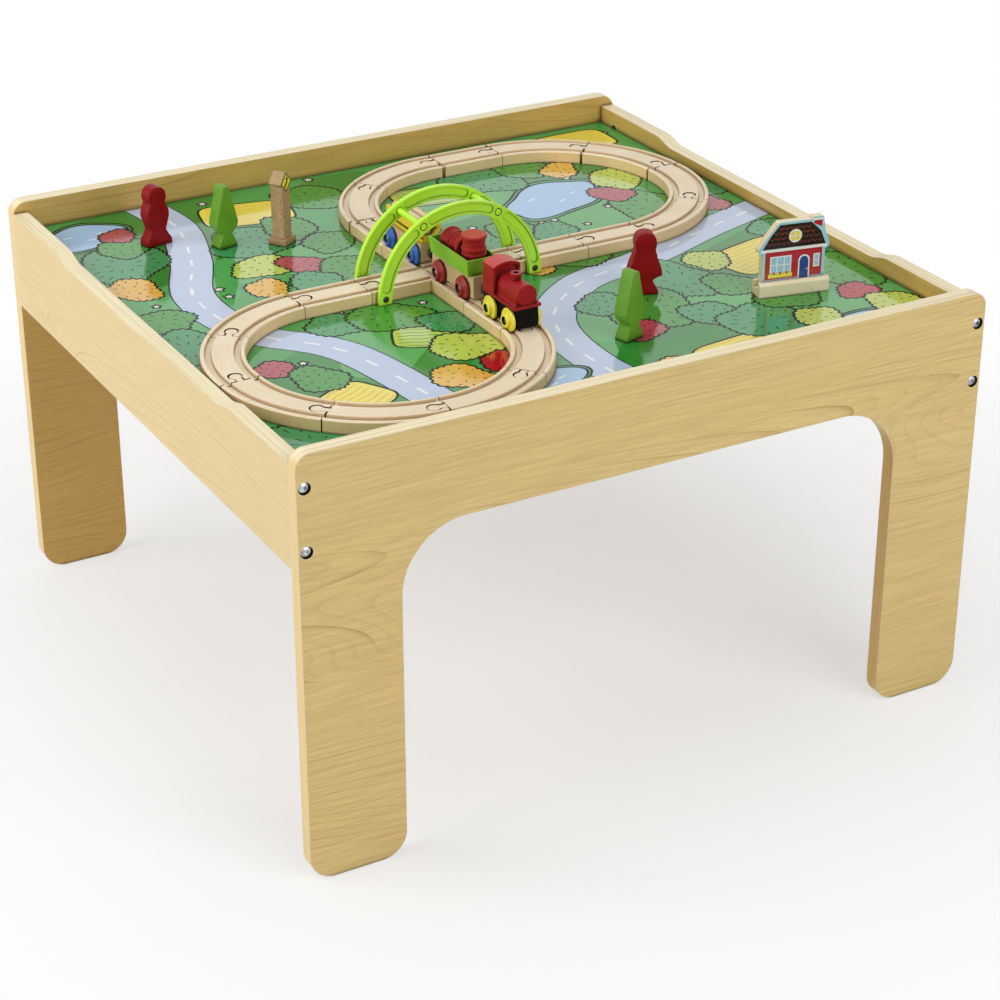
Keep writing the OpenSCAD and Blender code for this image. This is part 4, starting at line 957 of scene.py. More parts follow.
class Artwork:
    """Flat printed shapes in painting order, cut into faces that meet edge to edge."""

    KEEP_INSIDE = 1
    NEAR = 1e-7

    def __init__(self, outline: Sequence[Point], ground: Ink) -> None:
        """Start from the printed outline, all in one ink."""
        self.shapes: list[tuple[list[Point], Ink]] = [(list(outline), ground)]

    def shape(self, points: Iterable[Point], ink: Ink) -> None:
        """Paint an outline over what is there."""
        self.shapes.append((list(points), ink))

    def disc(
        self, middle: Point, radius: float, ink: Ink, steps: int = 20, stretch: float = 1.0, turn: float = 0.0
    ) -> None:
        """Paint a round spot, or an oval one along a turn."""
        self.shape(ring(middle, steps, lambda angle: radius, stretch, turn), ink)

    def bar(self, start: Point, end: Point, width: float, ink: Ink) -> None:
        """Paint a straight bar."""
        self.shape(ribbon([start, end], width), ink)

    def box(self, low: Point, high: Point, ink: Ink) -> None:
        """Paint an upright rectangle."""
        self.shape([low, (high[0], low[1]), high, (low[0], high[1])], ink)

    def cut(self) -> tuple[list[Vector], list[list[int]], list[Ink]]:
        """Cut the shapes into triangles.

        Returns:
            The corners, the triangles as indices of corners, and the ink of each triangle.
        """
        corners: list[Vector] = []
        loops: list[list[int]] = []
        for points, _ in self.shapes:
            loops.append(list(range(len(corners), len(corners) + len(points))))
            corners.extend(Vector(p) for p in points)
        points, _, faces, _, _, origins = delaunay_2d_cdt(
            corners, [], loops, self.KEEP_INSIDE, self.NEAR, True
        )
        kept = [(face, max(shapes)) for face, shapes in zip(faces, origins) if 0 in shapes]
        return list(points), [face for face, _ in kept], [self.shapes[top][1] for _, top in kept]

    def solid(
        self, name: str, place: Matrix, depth: float, rim: Finish, back: Finish | None
    ) -> bpy.types.Object:
        """Build the print as the face of a closed solid.

        Args:
            name: The new object's name.
            place: Where the print's plane lies; the solid is behind it.
            depth: The solid's thickness.
            rim: The finish of the solid's edges.
            back: The finish of its back, or None to print that too.

        Returns:
            The new object.
        """
        corners, faces, inks = self.cut()
        used = sorted(set(inks), key=lambda ink: ink.name)
        finishes = [ink.value for ink in used] + [rim] + ([back] if back else [])
        body = bmesh.new()
        front = [body.verts.new(place @ Vector((*c, 0.0))) for c in corners]
        behind = [body.verts.new(place @ Vector((*c, -depth))) for c in corners]
        border: dict[tuple[int, int], bool] = {}
        backs = []
        for face, ink in zip(faces, inks):
            top = body.faces.new([front[i] for i in face])
            top.material_index = used.index(ink)
            low = body.faces.new([behind[i] for i in reversed(face)])
            low.material_index = len(used) + 1 if back else used.index(ink)
            backs.append(low)
            for a, b in zip(face, [*face[1:], face[0]]):
                if not border.pop((b, a), False):
                    border[(a, b)] = True
        for a, b in border:
            side = body.faces.new([front[b], front[a], behind[a], behind[b]])
            side.material_index = len(used)
        if back:
            bmesh.ops.dissolve_faces(body, faces=backs)
        bmesh.ops.delete(body, geom=[v for v in body.verts if not v.link_faces], context="VERTS")
        mesh = bpy.data.meshes.new(name)
        body.to_mesh(mesh)
        body.free()
        for finish in finishes:
            mesh.materials.append(finish.material())
        made = bpy.data.objects.new(name, mesh)
        bpy.context.scene.collection.objects.link(made)
        return made


def turned(middle: Point, x: float, y: float, turn: float) -> Point:
    """A point beside a middle, after a turn around that middle.

    Args:
        middle: The middle.
        x: Distance along the first axis, before the turn.
        y: Distance along the second axis.
        turn: The angle of the turn.

    Returns:
        The point.
    """
    return (
        middle[0] + x * math.cos(turn) - y * math.sin(turn),
        middle[1] + x * math.sin(turn) + y * math.cos(turn),
    )


def polar(middle: Point, angle: float, far: float, stretch: float = 1.0, turn: float = 0.0) -> Point:
    """A point at an angle and a distance from a middle.

    Args:
        middle: The middle.
        angle: The angle before the turn.
        far: The distance before the stretch.
        stretch: Length along the turn, against the width.
        turn: The angle that the stretch points along.

    Returns:
        The point.
    """
    return turned(middle, far * math.cos(angle) * stretch, far * math.sin(angle), turn)


def ring(
    middle: Point, steps: int, reach: Callable[[float], float], stretch: float = 1.0, turn: float = 0.0
) -> list[Point]:
    """Points of a closed outline around a middle.

    Args:
        middle: The middle of the outline.
        steps: How many points there are.
        reach: The outline's distance from its middle at an angle.
        stretch: Length of the outline along its turn, against its width.
        turn: The angle that the stretch points along.

    Returns:
        The points in order.
    """
    angles = [math.tau * step / steps for step in range(steps)]
    return [polar(middle, angle, reach(angle), stretch, turn) for angle in angles]


def ribbon(path: Sequence[Point], width: float) -> list[Point]:
    """The outline of a band of one width along a path.

    Args:
        path: Points along the band's middle.
        width: The width.

    Returns:
        The outline.
    """
    left, right = [], []
    for i, (x, y) in enumerate(path):
        ahead, behind = path[min(i + 1, len(path) - 1)], path[max(i - 1, 0)]
        way = Vector((ahead[0] - behind[0], ahead[1] - behind[1])).normalized() * width / 2
        left.append((x - way.y, y + way.x))
        right.append((x + way.y, y - way.x))
    return right + left[::-1]


def smooth_path(points: Sequence[Point], steps: int) -> list[Point]:
    """A curve through points, with a number of steps between each two.

    Args:
        points: The points.
        steps: Steps between each two.

    Returns:
        The curve's points.
    """
    path = []
    for i in range(len(points) - 1):
        p0, p1 = Vector(points[max(i - 1, 0)]), Vector(points[i])
        p2, p3 = Vector(points[i + 1]), Vector(points[min(i + 2, len(points) - 1)])
        for step in range(steps):
            t = step / steps
            p = p1 + (p2 - p0) * t / 2 + (p0 - p1 * 2.5 + p2 * 2 - p3 / 2) * t**2
            p += (p1 * 1.5 - p0 / 2 - p2 * 1.5 + p3 / 2) * t**3
            path.append((p.x, p.y))
    return [*path, tuple(points[-1])]


class SubAssembly:
    """What the sub-assemblies share: finding nodes, giving them finishes and replacing them.

    A face is square on to an axis when its normal's share along it is above square_on, and edgewise
    when that share is below edgewise.
    """

    slots: dict[str, str] = {row["node"]: row["material_slot"] for row in frame["record"]["subparts"]}
    square_on: ClassVar[float] = 0.9
    edgewise: ClassVar[float] = 0.3
    shift_steps: ClassVar[Point] = (0.137, 0.061)
    shift_span: ClassVar[float] = 1.7
    weld: ClassVar[float] = 0.002 * MM
    level: ClassVar[float] = math.radians(0.4)

    def build(self) -> list[str]:
        """Make and dress the pieces, and name them."""
        raise NotImplementedError

    def paint(self, finish: Finish, *nodes: str) -> list[str]:
        """Give nodes one finish all over.

        Args:
            finish: The finish.
            nodes: The nodes' names.

        Returns:
            The nodes' names.
        """
        for name in nodes:
            node = frame["nodes"][name]
            node.data.materials.clear()
            node.data.materials.append(finish.material())
            node["grain_turn"] = 0.0
            along, across = self.shift_steps
            letters = sum(map(ord, name))
            node["grain_shift"] = (along * len(name), across * letters % self.shift_span, 0.0)
        return list(nodes)

    def paint_faces(self, finish: Finish, name: str, test: FaceTest) -> None:
        """Give the faces of a node that pass a test another finish.

        Args:
            finish: The other finish.
            name: The node.
            test: Takes a face's middle and its normal.
        """
        mesh = frame["nodes"][name].data
        mesh.materials.append(finish.material())
        for face in mesh.polygons:
            if test(face.center, face.normal):
                face.material_index = len(mesh.materials) - 1

    def turn_grain(self, name: str) -> None:
        """Turn a node's grain to the longer way of its plan.

        Args:
            name: The node.
        """
        node = frame["nodes"][name]
        middle = sum((v.co for v in node.data.vertices), Vector()) / len(node.data.vertices)
        xx = yy = xy = 0.0
        for vertex in node.data.vertices:
            x, y, _ = vertex.co - middle
            xx, yy, xy = xx + x * x, yy + y * y, xy + x * y
        node["grain_turn"] = -0.5 * math.atan2(2 * xy, xx - yy)

    def soften(self, name: str, radius: float, steps: int = 3, sharp: float = 30.0) -> bpy.types.Object:
        """Replace a node by a copy with rounded edges.

        Args:
            name: The node.
            radius: Size of the rounding.
            steps: Faces across the rounding.
            sharp: Least angle between two faces, in degrees, that is rounded.

        Returns:
            The copy, which wears the node's finish.
        """
        node = frame["nodes"][name]
        body = bmesh.new()
        body.from_mesh(node.data)
        bmesh.ops.remove_doubles(body, verts=body.verts, dist=self.weld)
        bmesh.ops.dissolve_limit(body, angle_limit=self.level, verts=body.verts, edges=body.edges)
        edges = [e for e in body.edges if e.is_manifold and e.calc_face_angle(0.0) > math.radians(sharp)]
        bmesh.ops.bevel(
            body, geom=edges, offset=radius, offset_type="OFFSET", segments=steps, profile=0.5,
            affect="EDGES", clamp_overlap=True,
        )
        for face in body.faces:
            face.smooth = True
        for edge in body.edges:
            edge.smooth = not edge.is_manifold or edge.calc_face_angle(0.0) < math.radians(sharp)
        mesh = bpy.data.meshes.new("soft_" + name)
        body.to_mesh(mesh)
        body.free()
        for material in node.data.materials:
            mesh.materials.append(material)
        made = bpy.data.objects.new("soft_" + name, mesh)
        bpy.context.scene.collection.objects.link(made)
        for key in ("grain_turn", "grain_shift"):
            made[key] = node[key]
        return self.stand_for(made, name)

    def upright(self, middle: Vector, turn: float, forward: float) -> Matrix:
        """Where an upright print lies.

        Args:
            middle: Middle of the piece that carries it, at the height of the print's origin.
            turn: The piece's turn around its middle.
            forward: How far the print lies in front of the middle.

        Returns:
            The matrix from the print's plane to the frame.
        """
        return (
            Matrix.Translation(middle)
            @ Matrix.Rotation(turn, 4, "Z")
            @ Matrix.Translation((0.0, -forward, 0.0))
            @ Matrix.Rotation(math.pi / 2, 4, "X")
        )

    def stand_for(self, piece: bpy.types.Object, name: str) -> bpy.types.Object:
        """Let a piece replace a node and ride on its body.

        Args:
            piece: The new piece.
            name: The node.

        Returns:
            The piece.
        """
        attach(piece, frame["nodes"][name]["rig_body"])
        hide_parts(name)
        return piece


@dataclass
class TableFrame(SubAssembly):
    """Panels, rails and what holds them together."""

    bolt_inset: float = 7.5 * MM
    bolt_heights: Span = (382.5 * MM, 324 * MM)
    hole_reach: float = 5.8 * MM
    hole_tilt: float = 0.2
    arch_reach: float = 300 * MM
    arch_tilt: float = 0.5

    def build(self) -> list[str]:
        """Dress the panels, the rails, the strips under the board and the fasteners.

        Returns:
            The names of the pieces.
        """
        panels = ("front_panel", "back_panel")
        made = self.paint(FINISHES.panel, *panels)
        made += self.paint(FINISHES.rail_sheen, "left_rail", "right_rail")
        made += self.paint(FINISHES.strip, "side_cleats", "end_cleats", "centre_brace")
        self.turn_grain("centre_brace")
        frame["nodes"]["end_cleats"]["grain_turn"] = -math.pi / 2
        for name in panels:
            self.shade_arch_edges(name)
        # Painted shade: the inner faces take the darker copy of the foil.
        for name, finish, inward in (
            ("front_panel", FINISHES.panel_inside_shaded, (0.0, 1.0, 0.0)),
            ("back_panel", FINISHES.panel_inside_shaded, (0.0, -1.0, 0.0)),
            ("left_rail", FINISHES.rail_inside_shaded, (1.0, 0.0, 0.0)),
            ("right_rail", FINISHES.rail_inside_shaded, (-1.0, 0.0, 0.0)),
        ):
            self.paint_faces(finish, name, lambda c, n: n.dot(Vector(inward)) > self.square_on)
        for name in panels:
            self.drill_holes(name)
        made += self.paint(FINISHES.bolt, "corner_bolts")
        return made + self.paint(FINISHES.nut, "barrel_nuts", "cleat_screws")

    def shade_arch_edges(self, name: str) -> None:
        """Give the cut edge of a panel's arch and of its legs a darker foil, as painted shade under the table
        top.

        Args:
            name: The panel's node.
        """
        self.paint_faces(
            FINISHES.panel_cut_shaded, name,
            lambda c, n: abs(n.y) < self.arch_tilt and n.z < self.arch_tilt and abs(c.x) < self.arch_reach,
        )

    def drill_holes(self, name: str) -> None:
        """Darken the walls of a panel's bolt holes: bare board shows there, and the dark tone is partly
        painted shade.

        Args:
            name: The panel's node.
        """
        low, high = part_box(name)
        sides = (low.x + self.bolt_inset, high.x - self.bolt_inset)
        self.paint_faces(
            FINISHES.hole, name,
            lambda c, n: abs(n.x) + abs(n.z) > self.hole_tilt
            and any(math.hypot(c.x - x, c.z - z) < self.hole_reach for x in sides for z in self.bolt_heights),
        )


@dataclass
class PlayBoard(SubAssembly):
    """The printed board: a generic countryside seen from above.

    The shares of a motif are parts of its radius or its width.
    """

    line: float = 2.7 * MM
    patch_steps: int = 72
    patch_waves: tuple[int, ...] = (2, 3, 5)
    patch_shares: Span = (0.03, 0.11)
    road_width: float = 40 * MM
    road_steps: int = 16
    dash: float = 16 * MM
    dash_width: float = 2.6 * MM
    dash_pitch: float = 36 * MM
    reed_growth: Point = (1.1, 1.14)
    ripple: float = 1.0 * MM
    ripple_stretch: float = 6.0
    ripple_shares: tuple[Point, ...] = ((-0.35, 0.2), (0.1, -0.25), (0.45, 0.15))
    field_power: int = 5
    field_steps: int = 48
    furrow: float = 6.5 * MM
    furrow_width: float = 1.7 * MM
    furrow_sway: float = 0.7 * MM
    furrow_bends: float = 9
    furrow_steps: int = 8
    furrow_share: float = 0.43
    scallop: float = 7 * MM
    scallop_share: float = 0.3
    scallop_steps: int = 6
    crown_share: float = 0.88
    crown_sways: Span = (0.08, 0.05)
    crown_waves: tuple[int, int] = (3, 5)
    crown_stretch: Span = (1.05, 1.4)
    leaf_width: float = 0.45 * line
    leaf_rings: tuple[tuple[float, int], ...] = ((0.62, 2), (0.3, 4))
    leaf_stray: float = 0.05
    leaf_shares: Span = (0.08, 0.16)
    flower_count: int = 90
    flower_reach: Point = (325 * MM, 310 * MM)
    flower_radius: Span = (2.8 * MM, 4.2 * MM)
    petal_shares: Span = (0.8, 0.28)
    petals: int = 5
    petal_steps: int = 6
    eye_share: float = 0.32
    eye_steps: int = 10
    grain_shift: Triple = (0.2, 0.4, 0.0)
    seed: int = 5
    chance: random.Random = field(init=False)

    def __post_init__(self) -> None:
        """Start the draws of the scattered motifs."""
        self.chance = random.Random(self.seed)

    def build(self) -> list[str]:
        """Print the board and let it replace the bare one.

        Returns:
            The names of the pieces.
        """
        low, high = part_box("play_board")
        art = Artwork([(low.x, low.y), (high.x, low.y), (high.x, high.y), (low.x, high.y)], Ink.GRASS)
        self.meadows(art)
        self.flowers(art)
        self.roads(art)
        self.waters(art)
        self.fields(art)
        self.crowns(art)
        place = Matrix.Translation((0.0, 0.0, high.z))
        board = art.solid("printed_board", place, high.z - low.z, FINISHES.strip, FINISHES.strip)
        board["grain_turn"], board["grain_shift"] = 0.0, self.grain_shift
        self.stand_for(board, "play_board")
        return [board.name]

    def patch(self, middle: Point, radius: float, stretch: float, turn: float) -> list[Point]:
        """A soft wavy outline around a middle.

        Args:
            middle: The middle.
            radius: Mean distance of the outline from it.
            stretch: Length along the turn, against the width.
            turn: The angle that the stretch points along.

        Returns:
            The outline.
        """
        waves = [
            (count, self.chance.uniform(*self.patch_shares), self.chance.uniform(0.0, math.tau))
            for count in self.patch_waves
        ]

        def reach(angle: float) -> float:
            """Distance of the outline from its middle."""
            swell = sum(share * math.sin(count * angle + start) for count, share, start in waves)
            return radius * (1 + swell)

        return ring(middle, self.patch_steps, reach, stretch, turn)

    def outlined(self, art: Artwork, middle: Point, points: Sequence[Point], ink: Ink) -> None:
        """Paint an outline with a dark line around it.

        Args:
            art: The print.
            middle: A point inside, which the line grows away from.
            points: The outline.
            ink: The ink inside it.
        """
        grown = []
        for x, y in points:
            away = Vector((x - middle[0], y - middle[1]))
            grown.append((x + away.x / away.length * self.line, y + away.y / away.length * self.line))
        art.shape(grown, Ink.LINE)
        art.shape(points, ink)

    def meadows(self, art: Artwork) -> None:
        """Paint large soft patches in other greens, with places and radii in millimetres.

        Args:
            art: The print.
        """
        for x, y, radius, stretch, turn, ink in (
            (-250, 225, 88, 1.7, 0.5, Ink.DEEP_GRASS), (-120, 95, 52, 2.0, -0.3, Ink.PALE_GRASS),
            (-265, 60, 44, 1.5, 1.2, Ink.PALE_GRASS), (-200, -170, 88, 1.4, 0.2, Ink.DEEP_GRASS),
            (-160, -115, 42, 1.6, 0.9, Ink.PALE_GRASS), (-250, -275, 40, 1.8, 0.1, Ink.PALE_GRASS),
            (135, 145, 96, 1.6, 0.1, Ink.PALE_GRASS), (225, 195, 48, 1.5, 0.6, Ink.DEEP_GRASS),
            (60, 90, 40, 1.7, 0.2, Ink.DEEP_GRASS), (160, -225, 84, 1.9, -0.2, Ink.PALE_GRASS),
            (265, -105, 56, 1.5, 0.4, Ink.DEEP_GRASS), (75, -245, 46, 1.6, 0.3, Ink.DEEP_GRASS),
            (120, -30, 40, 2.0, -0.2, Ink.DEEP_GRASS), (-20, 265, 42, 1.6, 0.2, Ink.DEEP_GRASS),
        ):
            art.shape(self.patch((x * MM, y * MM), radius * MM, stretch, turn), ink)

    def roads(self, art: Artwork) -> None:
        """Paint the roads and the dashes along their middle, with points in millimetres.

        Args:
            art: The print.
        """
        for points in (
            ((-215, 335), (-205, 250), (-228, 160), (-262, 70), (-250, -30), (-190, -120), (-160, -335)),
            ((345, 15), (250, -15), (160, -50), (70, -75), (5, -140), (-10, -240), (10, -335)),
        ):
            path = smooth_path([(x * MM, y * MM) for x, y in points], self.road_steps)
            art.shape(ribbon(path, self.road_width + self.line), Ink.LINE)
            art.shape(ribbon(path, self.road_width), Ink.ROAD)
            gone = 0.0
            for first, last in zip(path, path[1:]):
                gone += math.dist(first, last)
                if gone > self.dash_pitch:
                    way = Vector((last[0] - first[0], last[1] - first[1])).normalized() * self.dash / 2
                    start, end = (last[0] - way.x, last[1] - way.y), (last[0] + way.x, last[1] + way.y)
                    art.bar(start, end, self.dash_width, Ink.WHITE)
                    gone -= self.dash_pitch

    def waters(self, art: Artwork) -> None:
        """Paint ponds with a reedy shore and pale ripples, in millimetres.

        Args:
            art: The print.
        """
        for x, y, radius, stretch, turn in (
            (165, 135, 36, 1.7, 0.35), (-295, 268, 32, 1.3, 0.0),
            (245, -288, 26, 2.2, 0.1), (-70, -255, 24, 1.6, 0.4),
        ):
            middle = (x * MM, y * MM)
            wide, deep = self.reed_growth
            shore = self.patch(middle, radius * MM, stretch, turn)
            reeds = [
                (middle[0] + (px - middle[0]) * wide, middle[1] + (py - middle[1]) * deep) for px, py in shore
            ]
            self.outlined(art, middle, reeds, Ink.HEDGE)
            self.outlined(art, middle, shore, Ink.WATER)
            for dx, dy in self.ripple_shares:
                spot = (middle[0] + dx * radius * MM * stretch, middle[1] + dy * radius * MM)
                art.disc(spot, self.ripple, Ink.WHITE, stretch=self.ripple_stretch, turn=turn)

    def fields(self, art: Artwork) -> None:
        """Paint furrowed fields with round corners, in millimetres.

        Args:
            art: The print.
        """
        power = self.field_power
        for x, y, length, width, turn, ink, furrow in (
            (262, -98, 96, 64, 0.25, Ink.STRAW, Ink.AMBER), (-128, 250, 92, 60, -0.2, Ink.STRAW, Ink.AMBER),
            (-238, -208, 78, 56, 0.5, Ink.STRAW, Ink.AMBER), (55, 205, 72, 48, -0.15, Ink.LIME, Ink.HEDGE),
            (122, -278, 92, 48, 0.1, Ink.STRAW, Ink.AMBER), (275, 275, 84, 56, 0.0, Ink.STRAW, Ink.AMBER),
            (-115, -115, 60, 44, -0.4, Ink.LIME, Ink.HEDGE),
        ):
            middle = (x * MM, y * MM)

            def reach(angle: float) -> float:
                """Distance of the field's edge from its middle, before the stretch to its length."""
                corner = abs(math.cos(angle)) ** power + abs(math.sin(angle)) ** power
                return corner ** (-1 / power) * width * MM / 2

            edge = ring(middle, self.field_steps, reach, length / width, turn)
            self.outlined(art, middle, edge, ink)
            rows, half = int(width * MM / self.furrow), length * MM * self.furrow_share
            for row in range(rows):
                across = width * MM * ((row + 0.5) / rows - 0.5)
                line = []
                for step in range(-self.furrow_steps, self.furrow_steps + 1):
                    along = half * step / self.furrow_steps
                    sway = self.furrow_sway * math.sin(self.furrow_bends * along / half)
                    line.append(turned(middle, along, across + sway, turn))
                art.shape(ribbon(line, self.furrow_width), furrow)

    def crown(self, art: Artwork, middle: Point, radius: float, ink: Ink) -> None:
        """Paint one tree from above, with a scalloped edge and two rings of leaf strokes.

        Args:
            art: The print.
            middle: The tree's middle.
            radius: Its radius.
            ink: Its ink.
        """
        lobes = round(math.tau * radius / self.scallop)
        turn, shift = self.chance.uniform(0.0, math.tau), self.chance.uniform(0.0, math.tau)
        stretch = self.chance.uniform(*self.crown_stretch)

        def reach(angle: float) -> float:
            """Distance of the crown's edge from its middle.

            Args:
                angle: The angle around the middle.

            Returns:
                The distance.
            """
            lobe = self.scallop * self.scallop_share * abs(math.sin(lobes * angle / 2))
            (slow, fast), (few, many) = self.crown_sways, self.crown_waves
            share = self.crown_share + slow * math.sin(few * angle + shift)
            return radius * (share + fast * math.sin(many * angle - shift)) + lobe

        self.outlined(art, middle, ring(middle, lobes * self.scallop_steps, reach, stretch, turn), ink)
        for far, thinned in self.leaf_rings:
            strokes = lobes // thinned
            for step in range(strokes):
                angle = shift + math.tau * step / strokes
                start = radius * (far + self.chance.uniform(-self.leaf_stray, self.leaf_stray))
                end = start + radius * self.chance.uniform(*self.leaf_shares)
                art.bar(
                    polar(middle, angle, start, stretch, turn), polar(middle, angle, end, stretch, turn),
                    self.leaf_width, Ink.LINE,
                )

    def crowns(self, art: Artwork) -> None:
        """Paint trees and bushes, with places and radii in millimetres.

        Args:
            art: The print.
        """
        for x, y, radius, ink in (
            (-288, 182, 44, Ink.HEDGE), (-272, 222, 26, Ink.LEAF), (-304, 118, 24, Ink.AMBER),
            (-156, 176, 44, Ink.HEDGE), (-108, 194, 26, Ink.LEAF), (-172, 112, 27, Ink.LIME),
            (-138, 100, 19, Ink.ROSE), (-92, 62, 40, Ink.LEAF), (-146, 48, 25, Ink.HEDGE),
            (-192, 60, 20, Ink.AMBER), (-266, 256, 17, Ink.ROSE), (-88, 140, 26, Ink.LEAF),
            (-312, 34, 28, Ink.LEAF), (-314, -36, 40, Ink.HEDGE), (-52, 262, 34, Ink.LEAF),
            (-174, -50, 27, Ink.HEDGE), (-266, -114, 18, Ink.ROSE), (-122, -58, 34, Ink.LEAF),
            (-80, -94, 24, Ink.HEDGE), (-92, -150, 30, Ink.LIME), (-82, -198, 18, Ink.BRICK),
            (-128, -208, 24, Ink.AMBER), (-240, -150, 24, Ink.LEAF), (-300, -268, 42, Ink.HEDGE),
            (40, 52, 40, Ink.HEDGE), (84, 78, 24, Ink.LEAF), (120, 56, 22, Ink.HEDGE),
            (244, 68, 42, Ink.LEAF), (226, 118, 20, Ink.ROSE), (254, 156, 28, Ink.LIME),
            (130, 220, 42, Ink.HEDGE), (182, 226, 26, Ink.LEAF), (214, 206, 19, Ink.AMBER),
            (0, 130, 24, Ink.LEAF), (10, 170, 19, Ink.ROSE), (314, 92, 30, Ink.HEDGE),
            (108, -8, 30, Ink.LEAF), (54, -18, 20, Ink.AMBER), (158, -112, 38, Ink.HEDGE),
            (196, -146, 24, Ink.LEAF), (98, -160, 42, Ink.LEAF), (64, -198, 20, Ink.ROSE),
            (140, -196, 26, Ink.HEDGE), (178, -238, 40, Ink.HEDGE), (222, -252, 22, Ink.LIME),
            (312, -168, 38, Ink.LEAF), (292, -218, 19, Ink.BRICK), (306, -256, 25, Ink.LIME),
            (48, -286, 23, Ink.AMBER), (210, -84, 23, Ink.LIME), (300, 44, 18, Ink.ROSE),
            (226, -198, 27, Ink.LEAF), (62, -128, 22, Ink.HEDGE), (316, -46, 26, Ink.HEDGE),
        ):
            self.crown(art, (x * MM, y * MM), radius * MM, ink)

    def flowers(self, art: Artwork) -> None:
        """Scatter small white flowers with yellow middles.

        Args:
            art: The print.
        """
        core, sway = self.petal_shares
        for _ in range(self.flower_count):
            spot = tuple(self.chance.uniform(-reach, reach) for reach in self.flower_reach)
            size = self.chance.uniform(*self.flower_radius)
            steps = self.petal_steps * self.petals
            petals = ring(spot, steps, lambda a: size * (core + sway * math.cos(self.petals * a)))
            self.outlined(art, spot, petals, Ink.WHITE)
            art.disc(spot, size * self.eye_share, Ink.STRAW, self.eye_steps)


@dataclass
class TrackLoop(SubAssembly):
    """The figure-eight of loose track pieces."""

    thickness: float = 12 * MM
    groove_floor: float = 9 * MM
    wall_inset: float = 0.1 * MM
    joint_gap: float = 1.8 * MM
    joint_start: float = 0.01 * MM
    loops: tuple[str, ...] = ("front_straight", "front_curve", "back_straight", "back_curve")

    def build(self) -> list[str]:
        """Dress each piece with its own run of grain, with painted shade on the walls of the grooves and in
        the gaps between pieces.

        Returns:
            The names of the pieces.
        """
        low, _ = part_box("track_crossing")
        deep = low.z + self.groove_floor + self.wall_inset
        top = low.z + self.thickness - self.wall_inset
        made = [name for name in frame["nodes"] if name.startswith(self.loops)]
        made.append("track_crossing")
        self.paint(FINISHES.track, *made)
        for name in made:
            self.turn_grain(name)
            self.paint_faces(FINISHES.track_side, name, lambda c, n: abs(n.z) < self.edgewise)
            # Painted shade: the walls of the grooves are darker.
            self.paint_faces(
                FINISHES.groove_shade, name, lambda c, n: abs(n.z) < self.edgewise and deep < c.z < top
            )
        self.shade_joints(made)
        return made

    def shade_joints(self, names: Sequence[str]) -> None:
        """Give the upright faces that stand against the next piece a dark finish, as painted shade in the
        gaps.

        Args:
            names: The track's nodes.
        """
        corners: list[Vector] = []
        faces: list[list[int]] = []
        for name in names:
            mesh = frame["nodes"][name].data
            faces += [[len(corners) + corner for corner in face.vertices] for face in mesh.polygons]
            corners += [vertex.co.copy() for vertex in mesh.vertices]
        track = BVHTree.FromPolygons(corners, faces)

        def at_joint(centre: Vector, normal: Vector) -> bool:
            """Whether a face stands upright with another one close in front of it.

            Args:
                centre: The face's middle.
                normal: The face's normal.

            Returns:
                True for such a face.
            """
            if abs(normal.z) >= self.edgewise:
                return False
            start = centre + normal * self.joint_start
            return track.ray_cast(start, normal, self.joint_gap)[0] is not None

        for name in names:
            self.paint_faces(FINISHES.joint, name, at_joint)


@dataclass
class RollingStock(SubAssembly):
    """What the vehicles share: their wheel sets and their couplings."""

    axle_radius: float = 2.6 * MM
    hollow_radius: float = 4.15 * MM
    hollow_depth: float = 2.4 * MM
    magnet_radius: float = 4.1 * MM
    magnet_height: float = 0.9 * MM

    def wheels(self, finish: Finish, *names: str) -> list[str]:
        """Dress wheel sets, with bright axles and caps, and a dark finish in the wheels' hollows as painted
        shade.

        Args:
            finish: The wheels' finish.
            names: Their nodes.

        Returns:
            The names of the pieces.
        """
        self.paint(finish, *names)
        for name in names:
            low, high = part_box(name)
            middle = (low + high) / 2
            # Painted shade: the deep hollows in the faces of the wheels are dark.
            self.paint_faces(
                FINISHES.hollow_shade, name,
                lambda c, n: math.hypot(c.y - middle.y, c.z - middle.z) < self.hollow_radius
                and min(c.x - low.x, high.x - c.x) < self.hollow_depth,
            )
            self.paint_faces(
                FINISHES.bolt, name,
                lambda c, n: math.hypot(c.y - middle.y, c.z - middle.z) < self.axle_radius,
            )
        return list(names)

    def couplings(self, name: str) -> list[str]:
        """Dress coupling cups, with bright magnets at their ends.

        Args:
            name: The node.

        Returns:
            The names of the pieces.
        """
        self.paint(FINISHES.cup, name)
        low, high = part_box(name)
        middle = (low + high) / 2
        self.paint_faces(
            FINISHES.magnet, name,
            lambda c, n: math.hypot(c.x - middle.x, c.z - middle.z) < self.magnet_radius
            and min(c.y - low.y, high.y - c.y) < self.magnet_height,
        )
        return [name]


@dataclass
class Locomotive(RollingStock):
    """The red locomotive on its black chassis."""

    chimney_hollow: float = 2.55 * MM
    roof_rise: float = 8 * MM
    roof_tilt: float = 0.4

    def build(self) -> list[str]:
        """Dress the body, the chimney, the chassis, the wheels and the coupling.

        Returns:
            The names of the pieces.
        """
        made = self.paint(FINISHES.red, "loco_body", "loco_chimney")
        low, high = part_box("loco_chimney")
        middle = (low + high) / 2
        # Painted shade: the bore of the chimney takes the black finish.
        self.paint_faces(
            FINISHES.black, "loco_chimney",
            lambda c, n: math.hypot(c.x - middle.x, c.y - middle.y) < self.chimney_hollow and c.z > middle.z,
        )
        made += self.paint(FINISHES.black, "loco_chassis")
        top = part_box("loco_body")[1].z
        # Painted highlight: the faces of the roof that look up take a lighter red, as top light falls on
        # them.
        self.paint_faces(
            FINISHES.cab_roof_highlight, "loco_body", lambda c, n: n.z > self.roof_tilt and c.z > top - self.roof_rise
        )
        made += self.wheels(FINISHES.yellow, "loco_front_wheels", "loco_rear_wheels")
        return made + self.couplings("loco_coupling")


